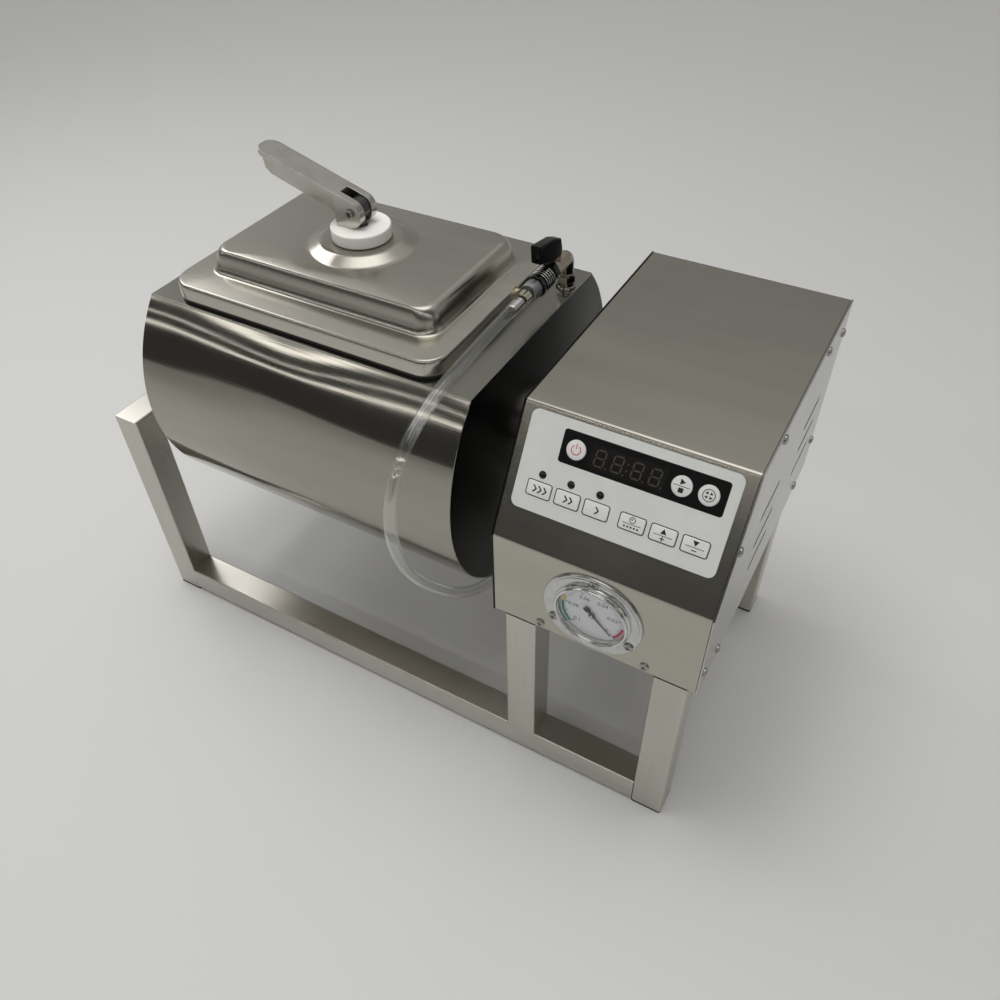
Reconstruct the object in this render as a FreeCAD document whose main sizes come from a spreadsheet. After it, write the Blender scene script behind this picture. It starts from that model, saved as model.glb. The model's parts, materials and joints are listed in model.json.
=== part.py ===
import FreeCAD, Part
import math
import os
import re

import Sketcher

# Vacuum marinator: a drum with a flat top turns on its long axis beside a drive housing,
# both carried by a frame of square tube.
# Row frame, millimetres: X runs along the drum towards the housing, Y from front to rear, Z up.
# The origin lies on the surface that the feet stand on, below the middle of the machine.

SIZES = {
    # frame
    "frame_left": -316,
    "frame_length": 622,
    "frame_depth": 310,
    "tube_side": 30,
    "tube_wall": 1.5,
    "tube_corner": 2,
    "foot_rise": 3,
    "plug_depth": 14,
    "plug_fit": 0.1,
    "portal_height": 257,
    "mid_post_offset": 455,
    "post_top": 209,
    # left bearing
    "bearing_rise": 28,
    "block_length": 100,
    "block_width": 24,
    "block_foot": 9,
    "block_crown": 23,
    "block_bolt_spacing": 76,
    "bolt_radius": 4,
    "bolt_across": 13,
    "bolt_head": 5.5,
    "bolt_length": 22,
    "bolt_nut": 6.5,
    "bolt_fit": 0.2,
    "shaft_radius": 10,
    "shaft_fit": 0.05,
    # drum
    "drum_offset": 62,
    "drum_length": 341,
    "drum_radius": 152.5,
    "drum_wall": 1.5,
    "end_wall": 2,
    "flat_rise": 105.5,
    "weld_gap": 0.05,
    "hub_radius": 45,
    "hub_flange": 6,
    "hub_boss": 20,
    "hub_reach": 16,
    "paddle_width": 34,
    "paddle_rise": 26,
    "paddle_length": 262,
    "paddle_turn": 75,
    "paddle_crest": 8,
    "paddle_fit": 0.2,
    # opening in the drum's flat top
    "opening_from_end": 165,
    "opening_length": 206,
    "opening_width": 130,
    "opening_corner": 18,
    "rim_width": 12,
    "rim_depth": 4,
    # lid
    "lid_length": 284,
    "lid_width": 214,
    "lid_corner": 22,
    "lid_lip": 15,
    "lid_sheet": 1.5,
    "lid_edge": 4,
    "crown_length": 232,
    "crown_width": 144,
    "crown_corner": 14,
    "crown_rise": 22,
    "crown_draft": 4,
    "crown_edge": 7,
    "boss_foot": 49,
    "boss_top": 37,
    "boss_rise": 6,
    "gasket_height": 2.5,
    "gasket_width": 8,
    "gasket_lip": 5,
    "gasket_lip_width": 3,
    "seat_gap": 0.3,
    # clamp
    "washer_radius": 27,
    "washer_height": 11.5,
    "stud_radius": 6,
    "stud_nut_height": 6,
    "running_gap": 0.3,
    "cam_reach": 14,
    "cam_lead": 2.15,
    "cam_heel": 16.5,
    "cam_crown": 10.5,
    "cam_sweep": 100,
    "lever_lean": 16.5,
    "lever_length": 105,
    "lever_width": 25,
    "lever_flange": 4.5,
    "lever_web": 21,
    "web_width": 12,
    "web_inset": 4,
    "web_fall": 3,
    "fork_slot": 10.6,
    "fork_depth": 26,
    "eye_radius": 9,
    "pin_radius": 4,
    "pin_proud": 2.5,
    "pin_recess": 3,
    "bar_length": 168,
    "bar_width": 26,
    "bar_height": 12,
    # vacuum fittings on the drum
    "fitting_inset": 10.4,
    "fitting_rear": 76.8,
    "run_rise": 31,
    "socket_radius": 7.5,
    "socket_height": 6,
    "bead_radius": 8.8,
    "bead_height": 2.6,
    "pipe_radius": 6.8,
    "pipe_bore": 3.5,
    "pipe_bend": 7,
    "nut_across": 15,
    "nut_height": 9,
    "valve_across": 15,
    "valve_length": 22.5,
    "stem_from_front": 6.5,
    "stem_radius": 3.2,
    "stem_rise": 4.5,
    "handle_reach": 38,
    "handle_width": 9,
    "handle_height": 15,
    "handle_lift": 0.3,
    "handle_tail": 4,
    "handle_hump": 10,
    "coupler_nut": 16,
    "coupler_nut_length": 6,
    "sleeve_radius": 10,
    "sleeve_length": 22,
    "sleeve_travel": 3,
    "sleeve_grips": 5,
    "sleeve_groove": 0.8,
    "coupler_core": 7,
    "plug_body": 8,
    "plug_length": 13,
    "barb_radius": 3.6,
    "barb_bore": 2.4,
    "barb_length": 29,
    "barb_rings": 5,
    "plug_tail": 12,
    "clamp_width": 8,
    "clamp_band": 0.9,
    "clamp_ear": 5,
    "worm_radius": 2.2,
    "worm_length": 12,
    "hose_radius": 5,
    "hose_bore": 3.8,
    "hose_gap": 0.2,
    # housing
    "housing_left": 127.6,
    "housing_width": 186,
    "housing_front": -155,
    "housing_depth": 312,
    "housing_top": 400,
    "slope_foot": 301.5,
    "slope_run": 57,
    "sheet": 1.5,
    "seam": 0.3,
    "bend": 2,
    "flange": 16,
    "flange_middle": 8,
    "screw_radius": 2,
    "screw_head": 4,
    "screw_rise": 2.2,
    "screw_length": 8,
    "screw_fit": 0.15,
    "slot_length": 52,
    "slot_width": 5,
    "rear_slots_inset": 70,
    "front_slots_inset": 189.5,
    "rear_slot_high": 40,
    "rear_slot_middle": 15,
    "rear_slot_low": -13,
    "front_slot_high": 36,
    "front_slot_middle": 5,
    "front_slot_low": -22,
    "screw_top_rear": 29,
    "screw_top_back_run": 75,
    "screw_top_front_run": 111,
    "screw_low_rear": 39,
    "screw_low_front": 22,
    "screw_foot_run": 45,
    "front_screw_left": 45.8,
    "front_screw_right": 140.1,
    # control panel, measured from the housing's left edge and up the slope from its foot
    "overlay_left": 9.5,
    "overlay_foot": 30.5,
    "overlay_width": 166,
    "overlay_height": 79,
    "overlay_corner": 6,
    "overlay_sheet": 0.8,
    "display_left": 62.3,
    "display_foot": 77.8,
    "display_width": 60,
    "display_height": 20,
    "display_depth": 6,
    "display_pins": 34,
    "display_pin_rows": 15.2,
    "round_row": 88.2,
    "round_radius": 7.7,
    "power_from_left": 50.9,
    "start_from_left": 134.1,
    "vacuum_from_left": 154.3,
    "key_row": 49.3,
    "key_height": 11.6,
    "key_width": 19.6,
    "key_corner": 1.5,
    "key_proud": 0.7,
    "key_depth": 3.5,
    "key_gap": 0.25,
    "key_travel": 0.5,
    "key_first": 30.1,
    "key_pitch": 24,
    "key_fourth": 107.2,
    "key_second_pitch": 24.4,
    "led_row": 61.4,
    "led_radius": 2.9,
    "board_depth": 9,
    "board_sheet": 1.6,
    "board_margin": 6,
    "switch_side": 6,
    "switch_gap": 1.8,
    "key_post": 2.2,
    "plunger_radius": 1.7,
    "board_post": 3,
    # vacuum gauge
    "gauge_from_left": 92.1,
    "gauge_height": 255.5,
    "gauge_flange": 43.2,
    "gauge_flange_sheet": 2,
    "gauge_case": 31,
    "gauge_depth": 26,
    "gauge_ring": 32.3,
    "gauge_ring_rise": 6,
    "gauge_wall": 2.2,
    "gauge_screws": 38.4,
    "gauge_spigot": 5,
    "gauge_spigot_length": 12,
    "dial_sheet": 0.8,
    "needle_reach": 24,
    "needle_tail": 9,
    "needle_sheet": 0.5,
    "lens_sheet": 1.6,
    "lens_bulge": 2.6,
    # inside the housing and at its back
    "gearbox_length": 62,
    "gearbox_side": 92,
    "gearbox_back": 9,
    "motor_radius": 42,
    "motor_length": 98,
    "shaft_in_gearbox": 40,
    "motor_foot": 16,
    "pump_radius": 30,
    "pump_length": 92,
    "pump_from_rear": 57,
    "pump_from_right": 12,
    "pump_foot": 4,
    "pump_head": 14,
    "pump_base_inset": 8,
    "pump_port": 4,
    "pump_port_rise": 12,
    "inlet_width": 50,
    "inlet_height": 26,
    "inlet_flange": 2.5,
    "inlet_from_left": 140,
    "inlet_rise": 31,
    "inlet_body_width": 28,
    "inlet_body_height": 20,
    "inlet_wall": 2,
    "inlet_floor": 5,
    "blade_width": 2,
    "blade_height": 4,
    "blade_length": 11,
    "blade_spacing": 7,
    "inlet_depth": 20,
    "inlet_fit": 0.2,
    # hose elbow on the housing's left side
    "elbow_y": -20,
    "elbow_z": 221,
    "elbow_out": 13.6,
    "elbow_radius": 5.5,
    "elbow_barb": 22,
    "elbow_shoulder": 2,
    "elbow_nut": 14,
    "elbow_nut_height": 4,
    "panel_bend": 7,
    "elbow_in": 8.5,
}

# Places and sizes that follow from the driving ones.
DERIVED = {
    "frame_right": "(frame_left + frame_length)",
    "tube_mid": "(tube_side / 2)",
    "frame_front": "(-frame_depth / 2)",
    "frame_rear": "(frame_depth / 2)",
    "rail_top": "(foot_rise + tube_side)",
    "axis_z": "(portal_height + bearing_rise)",
    "drum_left": "(frame_left + drum_offset)",
    "drum_right": "(drum_left + drum_length)",
    "flat_z": "(axis_z + flat_rise)",
    "deck_low": "(flat_z - drum_wall)",
    "opening_x": "(drum_left + opening_from_end)",
    "lid_foot": "(flat_z + seat_gap + gasket_height)",
    "lid_flange_z": "(lid_foot + lid_lip)",
    "crown_z": "(lid_flange_z + crown_rise)",
    "washer_z": "(crown_z + boss_rise)",
    "washer_top": "(washer_z + washer_height)",
    "pivot_z": "(washer_top + running_gap + cam_reach)",
    "bar_top": "(deck_low - rim_depth - 2 * running_gap)",
    "fitting_x": "(drum_right - fitting_inset)",
    "run_z": "(flat_z + run_rise)",
    "valve_rear": "(fitting_rear - pipe_bend - 0.5)",
    "valve_front": "(valve_rear - valve_length)",
    "stem_y": "(valve_front + stem_from_front)",
    "sleeve_rear": "(valve_front - coupler_nut_length - sleeve_travel - running_gap)",
    "sleeve_front": "(sleeve_rear - sleeve_length)",
    "plug_front": "(sleeve_front - plug_length)",
    "housing_right": "(housing_left + housing_width)",
    "housing_rear": "(housing_front + housing_depth)",
    "slope_lean": "atan2(slope_run; housing_top - slope_foot)",
    "cover_left": "(housing_left + sheet + seam)",
    "cover_width": "(housing_width - 2 * sheet - 2 * seam)",
    "gauge_x": "(housing_left + gauge_from_left)",
    "gearbox_x": "(housing_left + gearbox_back)",
    "tray_top": "(post_top + sheet)",
    "pump_y": "(housing_rear - pump_from_rear)",
    "inlet_z": "(post_top + inlet_rise)",
}

V = FreeCAD.Vector
doc = FreeCAD.newDocument("VacuumMarinator")
sheet = doc.addObject("Spreadsheet::Sheet", "Sizes")
for row, (alias, number) in enumerate(SIZES.items(), start=1):
    sheet.set(f"A{row}", alias)
    sheet.set(f"B{row}", str(number))
    sheet.setAlias(f"B{row}", alias)
doc.recompute()

parts = []


def link(text):
    """Write a formula's plain names as references to the sheet."""

    def swap(found):
        word = found.group()
        if word in DERIVED:
            return "(" + link(DERIVED[word]) + ")"
        return f"Sizes.{word}" if word in SIZES else word

    return re.sub(r"[a-z_]+[a-z0-9_]*", swap, str(text))


def val(text):
    """The number that a formula gives now."""
    found = sheet.evalExpression(link(text))
    return float(getattr(found, "Value", found))


def bind(thing, prop, text):
    thing.setExpression(prop, link(text))


def named(thing, label):
    """Mark an object as a sub-part of the machine."""
    thing.Label = label
    parts.append(thing)
    return thing


TURNS = {
    "+Z": (V(0, 0, 1), 0),
    "-Z": (V(1, 0, 0), 180),
    "+X": (V(0, 1, 0), 90),
    "-X": (V(0, 1, 0), -90),
    "+Y": (V(1, 0, 0), -90),
    "-Y": (V(1, 0, 0), 90),
}


def place(thing, x=0, y=0, z=0, way="+Z", turn=None):
    """Put an object's own origin at x, y, z with its own Z axis pointing one way."""
    axis, angle = turn or TURNS[way]
    thing.Placement = FreeCAD.Placement(V(0, 0, 0), FreeCAD.Rotation(axis, angle))
    bind(thing, "Placement.Base.x", x)
    bind(thing, "Placement.Base.y", y)
    bind(thing, "Placement.Base.z", z)
    return thing


# primitives


def box(name, corner, span, turn=None):
    thing = doc.addObject("Part::Box", name)
    for prop, text in zip(("Length", "Width", "Height"), span):
        bind(thing, prop, text)
    return place(thing, *corner, turn=turn)


def rod(name, start, radius, length, way="+Z"):
    thing = doc.addObject("Part::Cylinder", name)
    bind(thing, "Radius", radius)
    bind(thing, "Height", length)
    return place(thing, *start, way=way)


def quarter_bend(name, centre, bend, radius, turn):
    """A quarter of a ring of round section; its own X and Y axes point at its two ends."""
    thing = doc.addObject("Part::Torus", name)
    bind(thing, "Radius1", bend)
    bind(thing, "Radius2", radius)
    thing.Angle3 = 90
    return place(thing, *centre, turn=turn)


def hexagon(name, start, across, length, way="+Z"):
    thing = doc.addObject("Part::Prism", name)
    thing.Polygon = 6
    bind(thing, "Circumradius", f"({across}) / sqrt(3)")
    bind(thing, "Height", length)
    return place(thing, *start, way=way)


def fuse(name, things):
    thing = doc.addObject("Part::MultiFuse", name)
    thing.Shapes = things
    thing.Refine = True
    return thing


def common(name, things):
    thing = doc.addObject("Part::MultiCommon", name)
    thing.Shapes = things
    return thing


def cut(name, base, tools):
    tool = tools[0] if len(tools) == 1 else fuse(name + "_tools", tools)
    thing = doc.addObject("Part::Cut", name)
    thing.Base = base
    thing.Tool = tool
    return thing


def group(name, things):
    thing = doc.addObject("Part::Compound", name)
    thing.Links = things
    return thing


# sketches and bodies


def new_body(name):
    return doc.addObject("PartDesign::Body", name)


def new_sketch(body, name, role="XY_Plane", lift="0"):
    sketch = body.newObject("Sketcher::SketchObject", name)
    plane = [f for f in body.Origin.OriginFeatures if f.Role == role][0]
    sketch.AttachmentSupport = [(plane, "")]
    sketch.MapMode = "FlatFace"
    bind(sketch, "AttachmentOffset.Base.z", lift)
    return sketch


def hold(sketch, geo, point, x, y):
    """Fix a point of a sketch at x, y, each a formula of the sheet."""
    for kind, text, line in (("DistanceX", x, -2), ("DistanceY", y, -1)):
        if str(text) == "0":
            sketch.addConstraint(Sketcher.Constraint("PointOnObject", geo, point, line))
            continue
        number = sketch.addConstraint(Sketcher.Constraint(kind, -1, 1, geo, point, val(text)))
        bind(sketch, f"Constraints[{number}]", text)


def outline(sketch, corners):
    """A closed run of straight lines through the corners."""
    spots = [V(val(x), val(y), 0) for x, y in corners]
    first = sketch.GeometryCount
    count = len(spots)
    for i, spot in enumerate(spots):
        sketch.addGeometry(Part.LineSegment(spot, spots[(i + 1) % count]), False)
    for i in range(count):
        sketch.addConstraint(Sketcher.Constraint("Coincident", first + i, 2, first + (i + 1) % count, 1))
        hold(sketch, first + i, 1, *corners[i])


def ring(sketch, x, y, radius):
    spot = sketch.addGeometry(Part.Circle(V(val(x), val(y), 0), V(0, 0, 1), val(radius)), False)
    number = sketch.addConstraint(Sketcher.Constraint("Radius", spot, val(radius)))
    bind(sketch, f"Constraints[{number}]", radius)
    hold(sketch, spot, 3, x, y)


def rounded(sketch, x, y, width, height, radius):
    """A rectangle about x, y with round corners."""
    cx, cy, w, h, r = (val(text) for text in (x, y, width, height, radius))
    lines = []
    arcs = []
    corners = [(1, -1), (1, 1), (-1, 1), (-1, -1)]
    for i, (sx, sy) in enumerate(corners):
        px, py = corners[i - 1]
        if i % 2 == 0:
            start = V(cx + px * (w / 2 - r), cy + py * h / 2, 0)
            end = V(cx + sx * (w / 2 - r), cy + sy * h / 2, 0)
        else:
            start = V(cx + px * w / 2, cy + py * (h / 2 - r), 0)
            end = V(cx + sx * w / 2, cy + sy * (h / 2 - r), 0)
        lines.append(sketch.addGeometry(Part.LineSegment(start, end), False))
        middle = V(cx + sx * (w / 2 - r), cy + sy * (h / 2 - r), 0)
        turn = math.radians(-90 + 90 * i)
        arc = Part.ArcOfCircle(Part.Circle(middle, V(0, 0, 1), r), turn, turn + math.pi / 2)
        arcs.append(sketch.addGeometry(arc, False))
    for i in range(4):
        sketch.addConstraint(Sketcher.Constraint("Tangent", lines[i], 2, arcs[i], 1))
        sketch.addConstraint(Sketcher.Constraint("Tangent", arcs[i], 2, lines[(i + 1) % 4], 1))
        kind = "Horizontal" if i % 2 == 0 else "Vertical"
        sketch.addConstraint(Sketcher.Constraint(kind, lines[i]))
        if i:
            sketch.addConstraint(Sketcher.Constraint("Equal", arcs[0], arcs[i]))
    number = sketch.addConstraint(Sketcher.Constraint("Radius", arcs[0], r))
    bind(sketch, f"Constraints[{number}]", radius)
    number = sketch.addConstraint(Sketcher.Constraint("DistanceX", lines[3], 1, lines[1], 1, w))
    bind(sketch, f"Constraints[{number}]", width)
    number = sketch.addConstraint(Sketcher.Constraint("DistanceY", lines[0], 1, lines[2], 1, h))
    bind(sketch, f"Constraints[{number}]", height)
    left = f"({x}) - ({width}) / 2"
    foot = f"({y}) - ({height}) / 2"
    number = sketch.addConstraint(Sketcher.Constraint("DistanceX", -1, 1, lines[3], 1, val(left)))
    bind(sketch, f"Constraints[{number}]", left)
    number = sketch.addConstraint(Sketcher.Constraint("DistanceY", -1, 1, lines[0], 1, val(foot)))
    bind(sketch, f"Constraints[{number}]", foot)


def pad(body, sketch, length, back=False):
    feature = body.newObject("PartDesign::Pad", sketch.Name + "_pad")
    feature.Profile = sketch
    feature.Reversed = back
    bind(feature, "Length", length)
    return feature


def pocket(body, sketch, length, back=False):
    """Cut a sketch's outline out of a body, and make sure that something was cut."""
    doc.recompute()
    before = body.Shape.Volume
    feature = body.newObject("PartDesign::Pocket", sketch.Name + "_pocket")
    feature.Profile = sketch
    feature.Reversed = back
    bind(feature, "Length", length)
    doc.recompute()
    if not body.Shape.Volume < before:
        raise ValueError(f"{sketch.Name} cuts nothing")
    return feature


def turned(name, profile, at, way="+Z"):
    """A piece turned about its own Z axis from a profile of (radius, height) points."""
    body = new_body(name)
    sketch = new_sketch(body, name + "_profile", "XZ_Plane")
    outline(sketch, profile)
    feature = body.newObject("PartDesign::Revolution", name + "_turn")
    feature.Profile = sketch
    feature.ReferenceAxis = (sketch, ["V_Axis"])
    feature.Angle = 360
    return place(body, *at, way=way)


def near(a, b):
    return abs(a - b) < 0.01


# Frame of square tube


def square_tube(name, length, at, way="+Z"):
    body = new_body(name)
    sketch = new_sketch(body, name + "_section")
    rounded(sketch, 0, 0, "tube_side", "tube_side", "tube_corner")
    bore = "tube_side - 2 * tube_wall"
    rounded(sketch, 0, 0, bore, bore, "tube_corner - tube_wall")
    pad(body, sketch, length)
    return place(body, *at, way=way)


front_line = "frame_front + tube_mid"
rear_line = "frame_rear - tube_mid"
left_line = "frame_left + tube_mid"
mid_line = "frame_left + mid_post_offset + tube_mid"
right_line = "frame_right - tube_mid"
clear_depth = "frame_depth - 2 * tube_side"


def mitre(name, edge, turn):
    """A block whose slanted face passes through the portal's outer corner at one edge."""
    reach = "2 * tube_side"
    at = ("frame_left - 1", f"{edge} - {reach} * cos({turn})", f"portal_height - {reach} * sin({turn})")
    return box(name, at, ("tube_side + 2", "4 * tube_side", "3 * tube_side"), (V(1, 0, 0), turn))


# The portal's three tubes meet in mitres, so no tube end is open at the top.
for side, line, edge, turn in (
    ("front", front_line, "frame_front", -45),
    ("rear", rear_line, "frame_rear", 45),
):
    tube = square_tube(
        f"left_{side}_tube", "portal_height - foot_rise", (left_line, line, "foot_rise")
    )
    named(cut(f"left_{side}_cut", tube, [mitre(f"left_{side}_mitre", edge, turn)]), f"left_{side}_leg")

beam_at = (left_line, "frame_front", "portal_height - tube_mid")
beam = square_tube("portal_tube", "frame_depth", beam_at, "+Y")
ends = [mitre("beam_front_mitre", "frame_front", 135), mitre("beam_rear_mitre", "frame_rear", -135)]
for sign in (-1, 1):
    spot = (left_line, f"{sign} * block_bolt_spacing / 2", "portal_height - 2 * tube_wall")
    ends.append(rod("beam_bolt_hole", spot, "bolt_radius + bolt_fit", "4 * tube_wall"))
named(cut("portal_cut", beam, ends), "left_crossbar")

rail_run = "frame_length - 2 * tube_side"
for side, line in (("front", front_line), ("rear", rear_line)):
    at = ("frame_left + tube_side", line, "foot_rise + tube_mid")
    named(square_tube(f"{side}_rail_tube", rail_run, at, "+X"), f"{side}_rail")
    post = square_tube(f"mid_{side}_tube", "post_top - rail_top", (mid_line, line, "rail_top"))
    named(post, f"mid_{side}_post")
    leg = square_tube(f"right_{side}_tube", "post_top - foot_rise", (right_line, line, "foot_rise"))
    named(leg, f"right_{side}_leg")

for side, line in (("left", mid_line), ("right", right_line)):
    at = (line, "frame_front + tube_side", "post_top - tube_mid")
    named(square_tube(f"{side}_bearer_tube", clear_depth, at, "+Y"), f"{side}_bearer")


def foot_plug(name, x, y):
    body = new_body(name)
    foot = new_sketch(body, name + "_foot")
    rounded(foot, 0, 0, "tube_side", "tube_side", "tube_corner")
    pad(body, foot, "foot_rise")
    stem = new_sketch(body, name + "_stem")
    width = "tube_side - 2 * tube_wall - 2 * plug_fit"
    rounded(stem, 0, 0, width, width, "tube_corner - tube_wall")
    pad(body, stem, "foot_rise + plug_depth")
    return place(body, x, y, 0)


plugs = []
for x in (left_line, right_line):
    for y in (front_line, rear_line):
        plugs.append(foot_plug(f"plug_{len(plugs)}", x, y))
named(group("plug_set", plugs), "foot_plugs")

# Left bearing on the portal

DERIVED["block_x"] = f"({left_line} - block_width / 2)"
base_span = ("block_width", "block_length", "block_foot")
foot = box("block_base", ("block_x", "-block_length / 2", "portal_height"), base_span)
neck_span = ("block_width", "2 * block_crown", "bearing_rise")
neck = box("block_neck", ("block_x", "-block_crown", "portal_height"), neck_span)
crown = rod("block_head", ("block_x", 0, "axis_z"), "block_crown", "block_width", "+X")
bore_at = ("block_x - 1", 0, "axis_z")
holes = [rod("block_bore", bore_at, "shaft_radius + shaft_fit", "block_width + 2", "+X")]
bolts = []
for sign in (-1, 1):
    y = f"{sign} * block_bolt_spacing / 2"
    top = "portal_height + block_foot"
    hole_at = (left_line, y, "portal_height - 1")
    holes.append(rod("block_bolt_hole", hole_at, "bolt_radius + bolt_fit", "block_foot + 2"))
    head = hexagon("bolt_head_hex", (left_line, y, top), "bolt_across", "bolt_head")
    shank = rod("bolt_shank", (left_line, y, f"{top} - bolt_length"), "bolt_radius", "bolt_length")
    nut_at = (left_line, y, "portal_height - tube_wall - bolt_nut")
    nut = hexagon("bolt_nut_hex", nut_at, "bolt_across", "bolt_nut")
    bolts.append(fuse("block_bolt", [head, shank, nut]))
named(cut("block_cut", fuse("block_casting", [foot, neck, crown]), holes), "pillow_block")
named(group("block_bolts", bolts), "pillow_bolts")

# Drum: a wrapped shell, a flat deck with the opening, and an end plate at each end


def drum_slab(name, radius, start, length, low, high):
    """The part of a cylinder on the drum's axis that lies between two levels."""
    core = rod(name + "_core", (start, 0, "axis_z"), radius, length, "+X")
    span = (length, "2 * drum_radius + 2", f"({high}) - ({low})")
    level = box(name + "_level", (start, "-drum_radius - 1", low), span)
    return common(name, [core, level])


bottom = "axis_z - drum_radius - 1"
skin = drum_slab("shell_outer", "drum_radius", "drum_left", "drum_length", bottom, "deck_low")
hollow_at = ("drum_left - 1", 0, "axis_z")
hollow = rod("shell_inner", hollow_at, "drum_radius - drum_wall", "drum_length + 2", "+X")
named(cut("shell_cut", skin, [hollow]), "drum_shell")

for side, start in (("left", "drum_left"), ("right", "drum_right - end_wall")):
    radius = "drum_radius - drum_wall - weld_gap"
    slab = drum_slab(f"{side}_disc", radius, start, "end_wall", bottom, "deck_low - weld_gap")
    hole_at = (f"{start} - 1", 0, "axis_z")
    shaft_hole = rod(f"{side}_disc_hole", hole_at, "shaft_radius + 1", "end_wall + 2", "+X")
    named(cut(f"{side}_disc_cut", slab, [shaft_hole]), f"{side}_end_plate")

opening = new_body("opening_tool")
opening_sketch = new_sketch(opening, "opening_outline")
rounded(opening_sketch, 0, 0, "opening_length", "opening_width", "opening_corner")
pad(opening, opening_sketch, "drum_wall + rim_depth + 2")
place(opening, "opening_x", 0, "deck_low - rim_depth - 1")
rim = new_body("rim_tool")
rim_sketch = new_sketch(rim, "rim_outline")
rim_span = ("opening_length + 2 * rim_width", "opening_width + 2 * rim_width")
rounded(rim_sketch, 0, 0, *rim_span, "opening_corner + rim_width")
pad(rim, rim_sketch, "rim_depth")
place(rim, "opening_x", 0, "deck_low - rim_depth")
deck_slab = drum_slab("deck_plate", "drum_radius", "drum_left", "drum_length", "deck_low", "flat_z")
socket = turned(
    "deck_socket",
    [
        ("pipe_bore", 0),
        ("bead_radius", 0),
        ("socket_radius", "bead_height"),
        ("socket_radius", "socket_height"),
        ("pipe_bore", "socket_height"),
    ],
    ("fitting_x", "fitting_rear", "flat_z"),
)
port = rod("deck_port", ("fitting_x", "fitting_rear", "deck_low - 1"), "pipe_bore", "drum_wall + 1.5")
named(cut("deck_cut", fuse("deck_welded", [deck_slab, rim, socket]), [opening, port]), "drum_deck")

hub_profile = [
    ("shaft_radius", 0),
    ("hub_radius", 0),
    ("hub_radius", "hub_flange - 1"),
    ("hub_radius - 1", "hub_flange"),
    ("hub_boss + 3", "hub_flange"),
    ("hub_boss", "hub_flange + 3"),
    ("hub_boss", "hub_reach - 1"),
    ("hub_boss - 1", "hub_reach"),
    ("shaft_radius", "hub_reach"),
]


def hub(side, start, way, reach):
    """A welded hub whose shaft starts inside the drum and reaches out along the axis."""
    wheel = turned(f"{side}_hub_wheel", hub_profile, (start, 0, "axis_z"), way)
    back = f"{start} - {'' if way == '+X' else '-'}end_wall"
    shaft = turned(
        f"{side}_hub_shaft",
        [
            (0, 0),
            ("shaft_radius", 0),
            ("shaft_radius", f"{reach} - 1"),
            ("shaft_radius - 1", reach),
            (0, reach),
        ],
        (back, 0, "axis_z"),
        way,
    )
    return named(fuse(f"{side}_hub_welded", [wheel, shaft]), f"{side}_hub")


hub("left", "drum_left", "-X", "drum_left - block_x + end_wall + 2")
hub("right", "drum_right", "+X", "gearbox_x + shaft_in_gearbox - drum_right + end_wall")

paddles = []
for turn in (-1, 0, 1):
    body = new_body("paddle_body")
    section = new_sketch(body, f"paddle_section_{turn + 1}", "YZ_Plane")
    seat = "-sqrt((drum_radius - drum_wall - paddle_fit) ^ 2 - (paddle_width / 2) ^ 2)"
    outline(
        section,
        [
            ("-paddle_width / 2", seat),
            ("paddle_width / 2", seat),
            ("paddle_crest / 2", f"{seat} + paddle_rise"),
            ("-paddle_crest / 2", f"{seat} + paddle_rise"),
        ],
    )
    pad(body, section, "paddle_length")
    place(body, "drum_left + (drum_length - paddle_length) / 2", 0, "axis_z")
    body.Placement.Rotation = FreeCAD.Rotation(V(1, 0, 0), 1)
    bind(body, "Placement.Rotation.Angle", f"{turn} * paddle_turn")
    paddles.append(body)
named(group("paddle_set", paddles), "tumbling_paddles")

# Lid: a pan pressed from sheet, standing on its gasket


def lid_form(name, inset, foot, top):
    """The pan's outer form moved inwards by an inset, from a foot level up."""
    body = new_body(name)
    edge = new_sketch(body, name + "_edge")
    rounded(
        edge,
        0,
        0,
        f"lid_length - 2 * ({inset})",
        f"lid_width - 2 * ({inset})",
        f"lid_corner - ({inset})",
    )
    pad(body, edge, f"lid_lip - ({top})")
    place(body, "opening_x", 0, foot)
    crown = new_body(name + "_crown")
    low = new_sketch(crown, name + "_crown_foot", lift=f"lid_lip - ({top}) - 0.01")
    spread = f"2 * crown_draft - 2 * ({inset})"
    foot_corner = f"crown_corner + crown_draft - ({inset})"
    rounded(low, 0, 0, f"crown_length + {spread}", f"crown_width + {spread}", foot_corner)
    high = new_sketch(crown, name + "_crown_top", lift=f"lid_lip + crown_rise - ({top})")
    shrink = f"2 * ({inset})"
    rounded(high, 0, 0, f"crown_length - {shrink}", f"crown_width - {shrink}", f"crown_corner - ({inset})")
    loft = crown.newObject("PartDesign::AdditiveLoft", name + "_loft")
    loft.Profile = low
    loft.Sections = [high]
    loft.Ruled = True
    place(crown, "opening_x", 0, foot)
    rise = f"lid_lip + crown_rise - ({top}) - 0.01"
    boss = turned(
        name + "_boss",
        [
            (0, rise),
            (f"boss_foot - ({inset})", rise),
            (f"boss_top - ({inset})", f"{rise} + boss_rise + 0.01"),
            (0, f"{rise} + boss_rise + 0.01"),
        ],
        ("opening_x", 0, foot),
    )
    return fuse(name + "_form", [body, crown, boss])


def softened(name, base, rounds):
    """Round the edges that lie wholly at the given levels."""
    doc.recompute()
    thing = doc.addObject("Part::Fillet", name)
    thing.Base = base
    wanted = []
    for level, radius in rounds:
        height = val(level)
        for i, line in enumerate(base.Shape.Edges, start=1):
            low = line.BoundBox.ZMin
            high = line.BoundBox.ZMax
            if near(low, height) and near(high, height):
                wanted.append((i, val(radius), val(radius)))
    thing.Edges = wanted
    return thing


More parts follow.
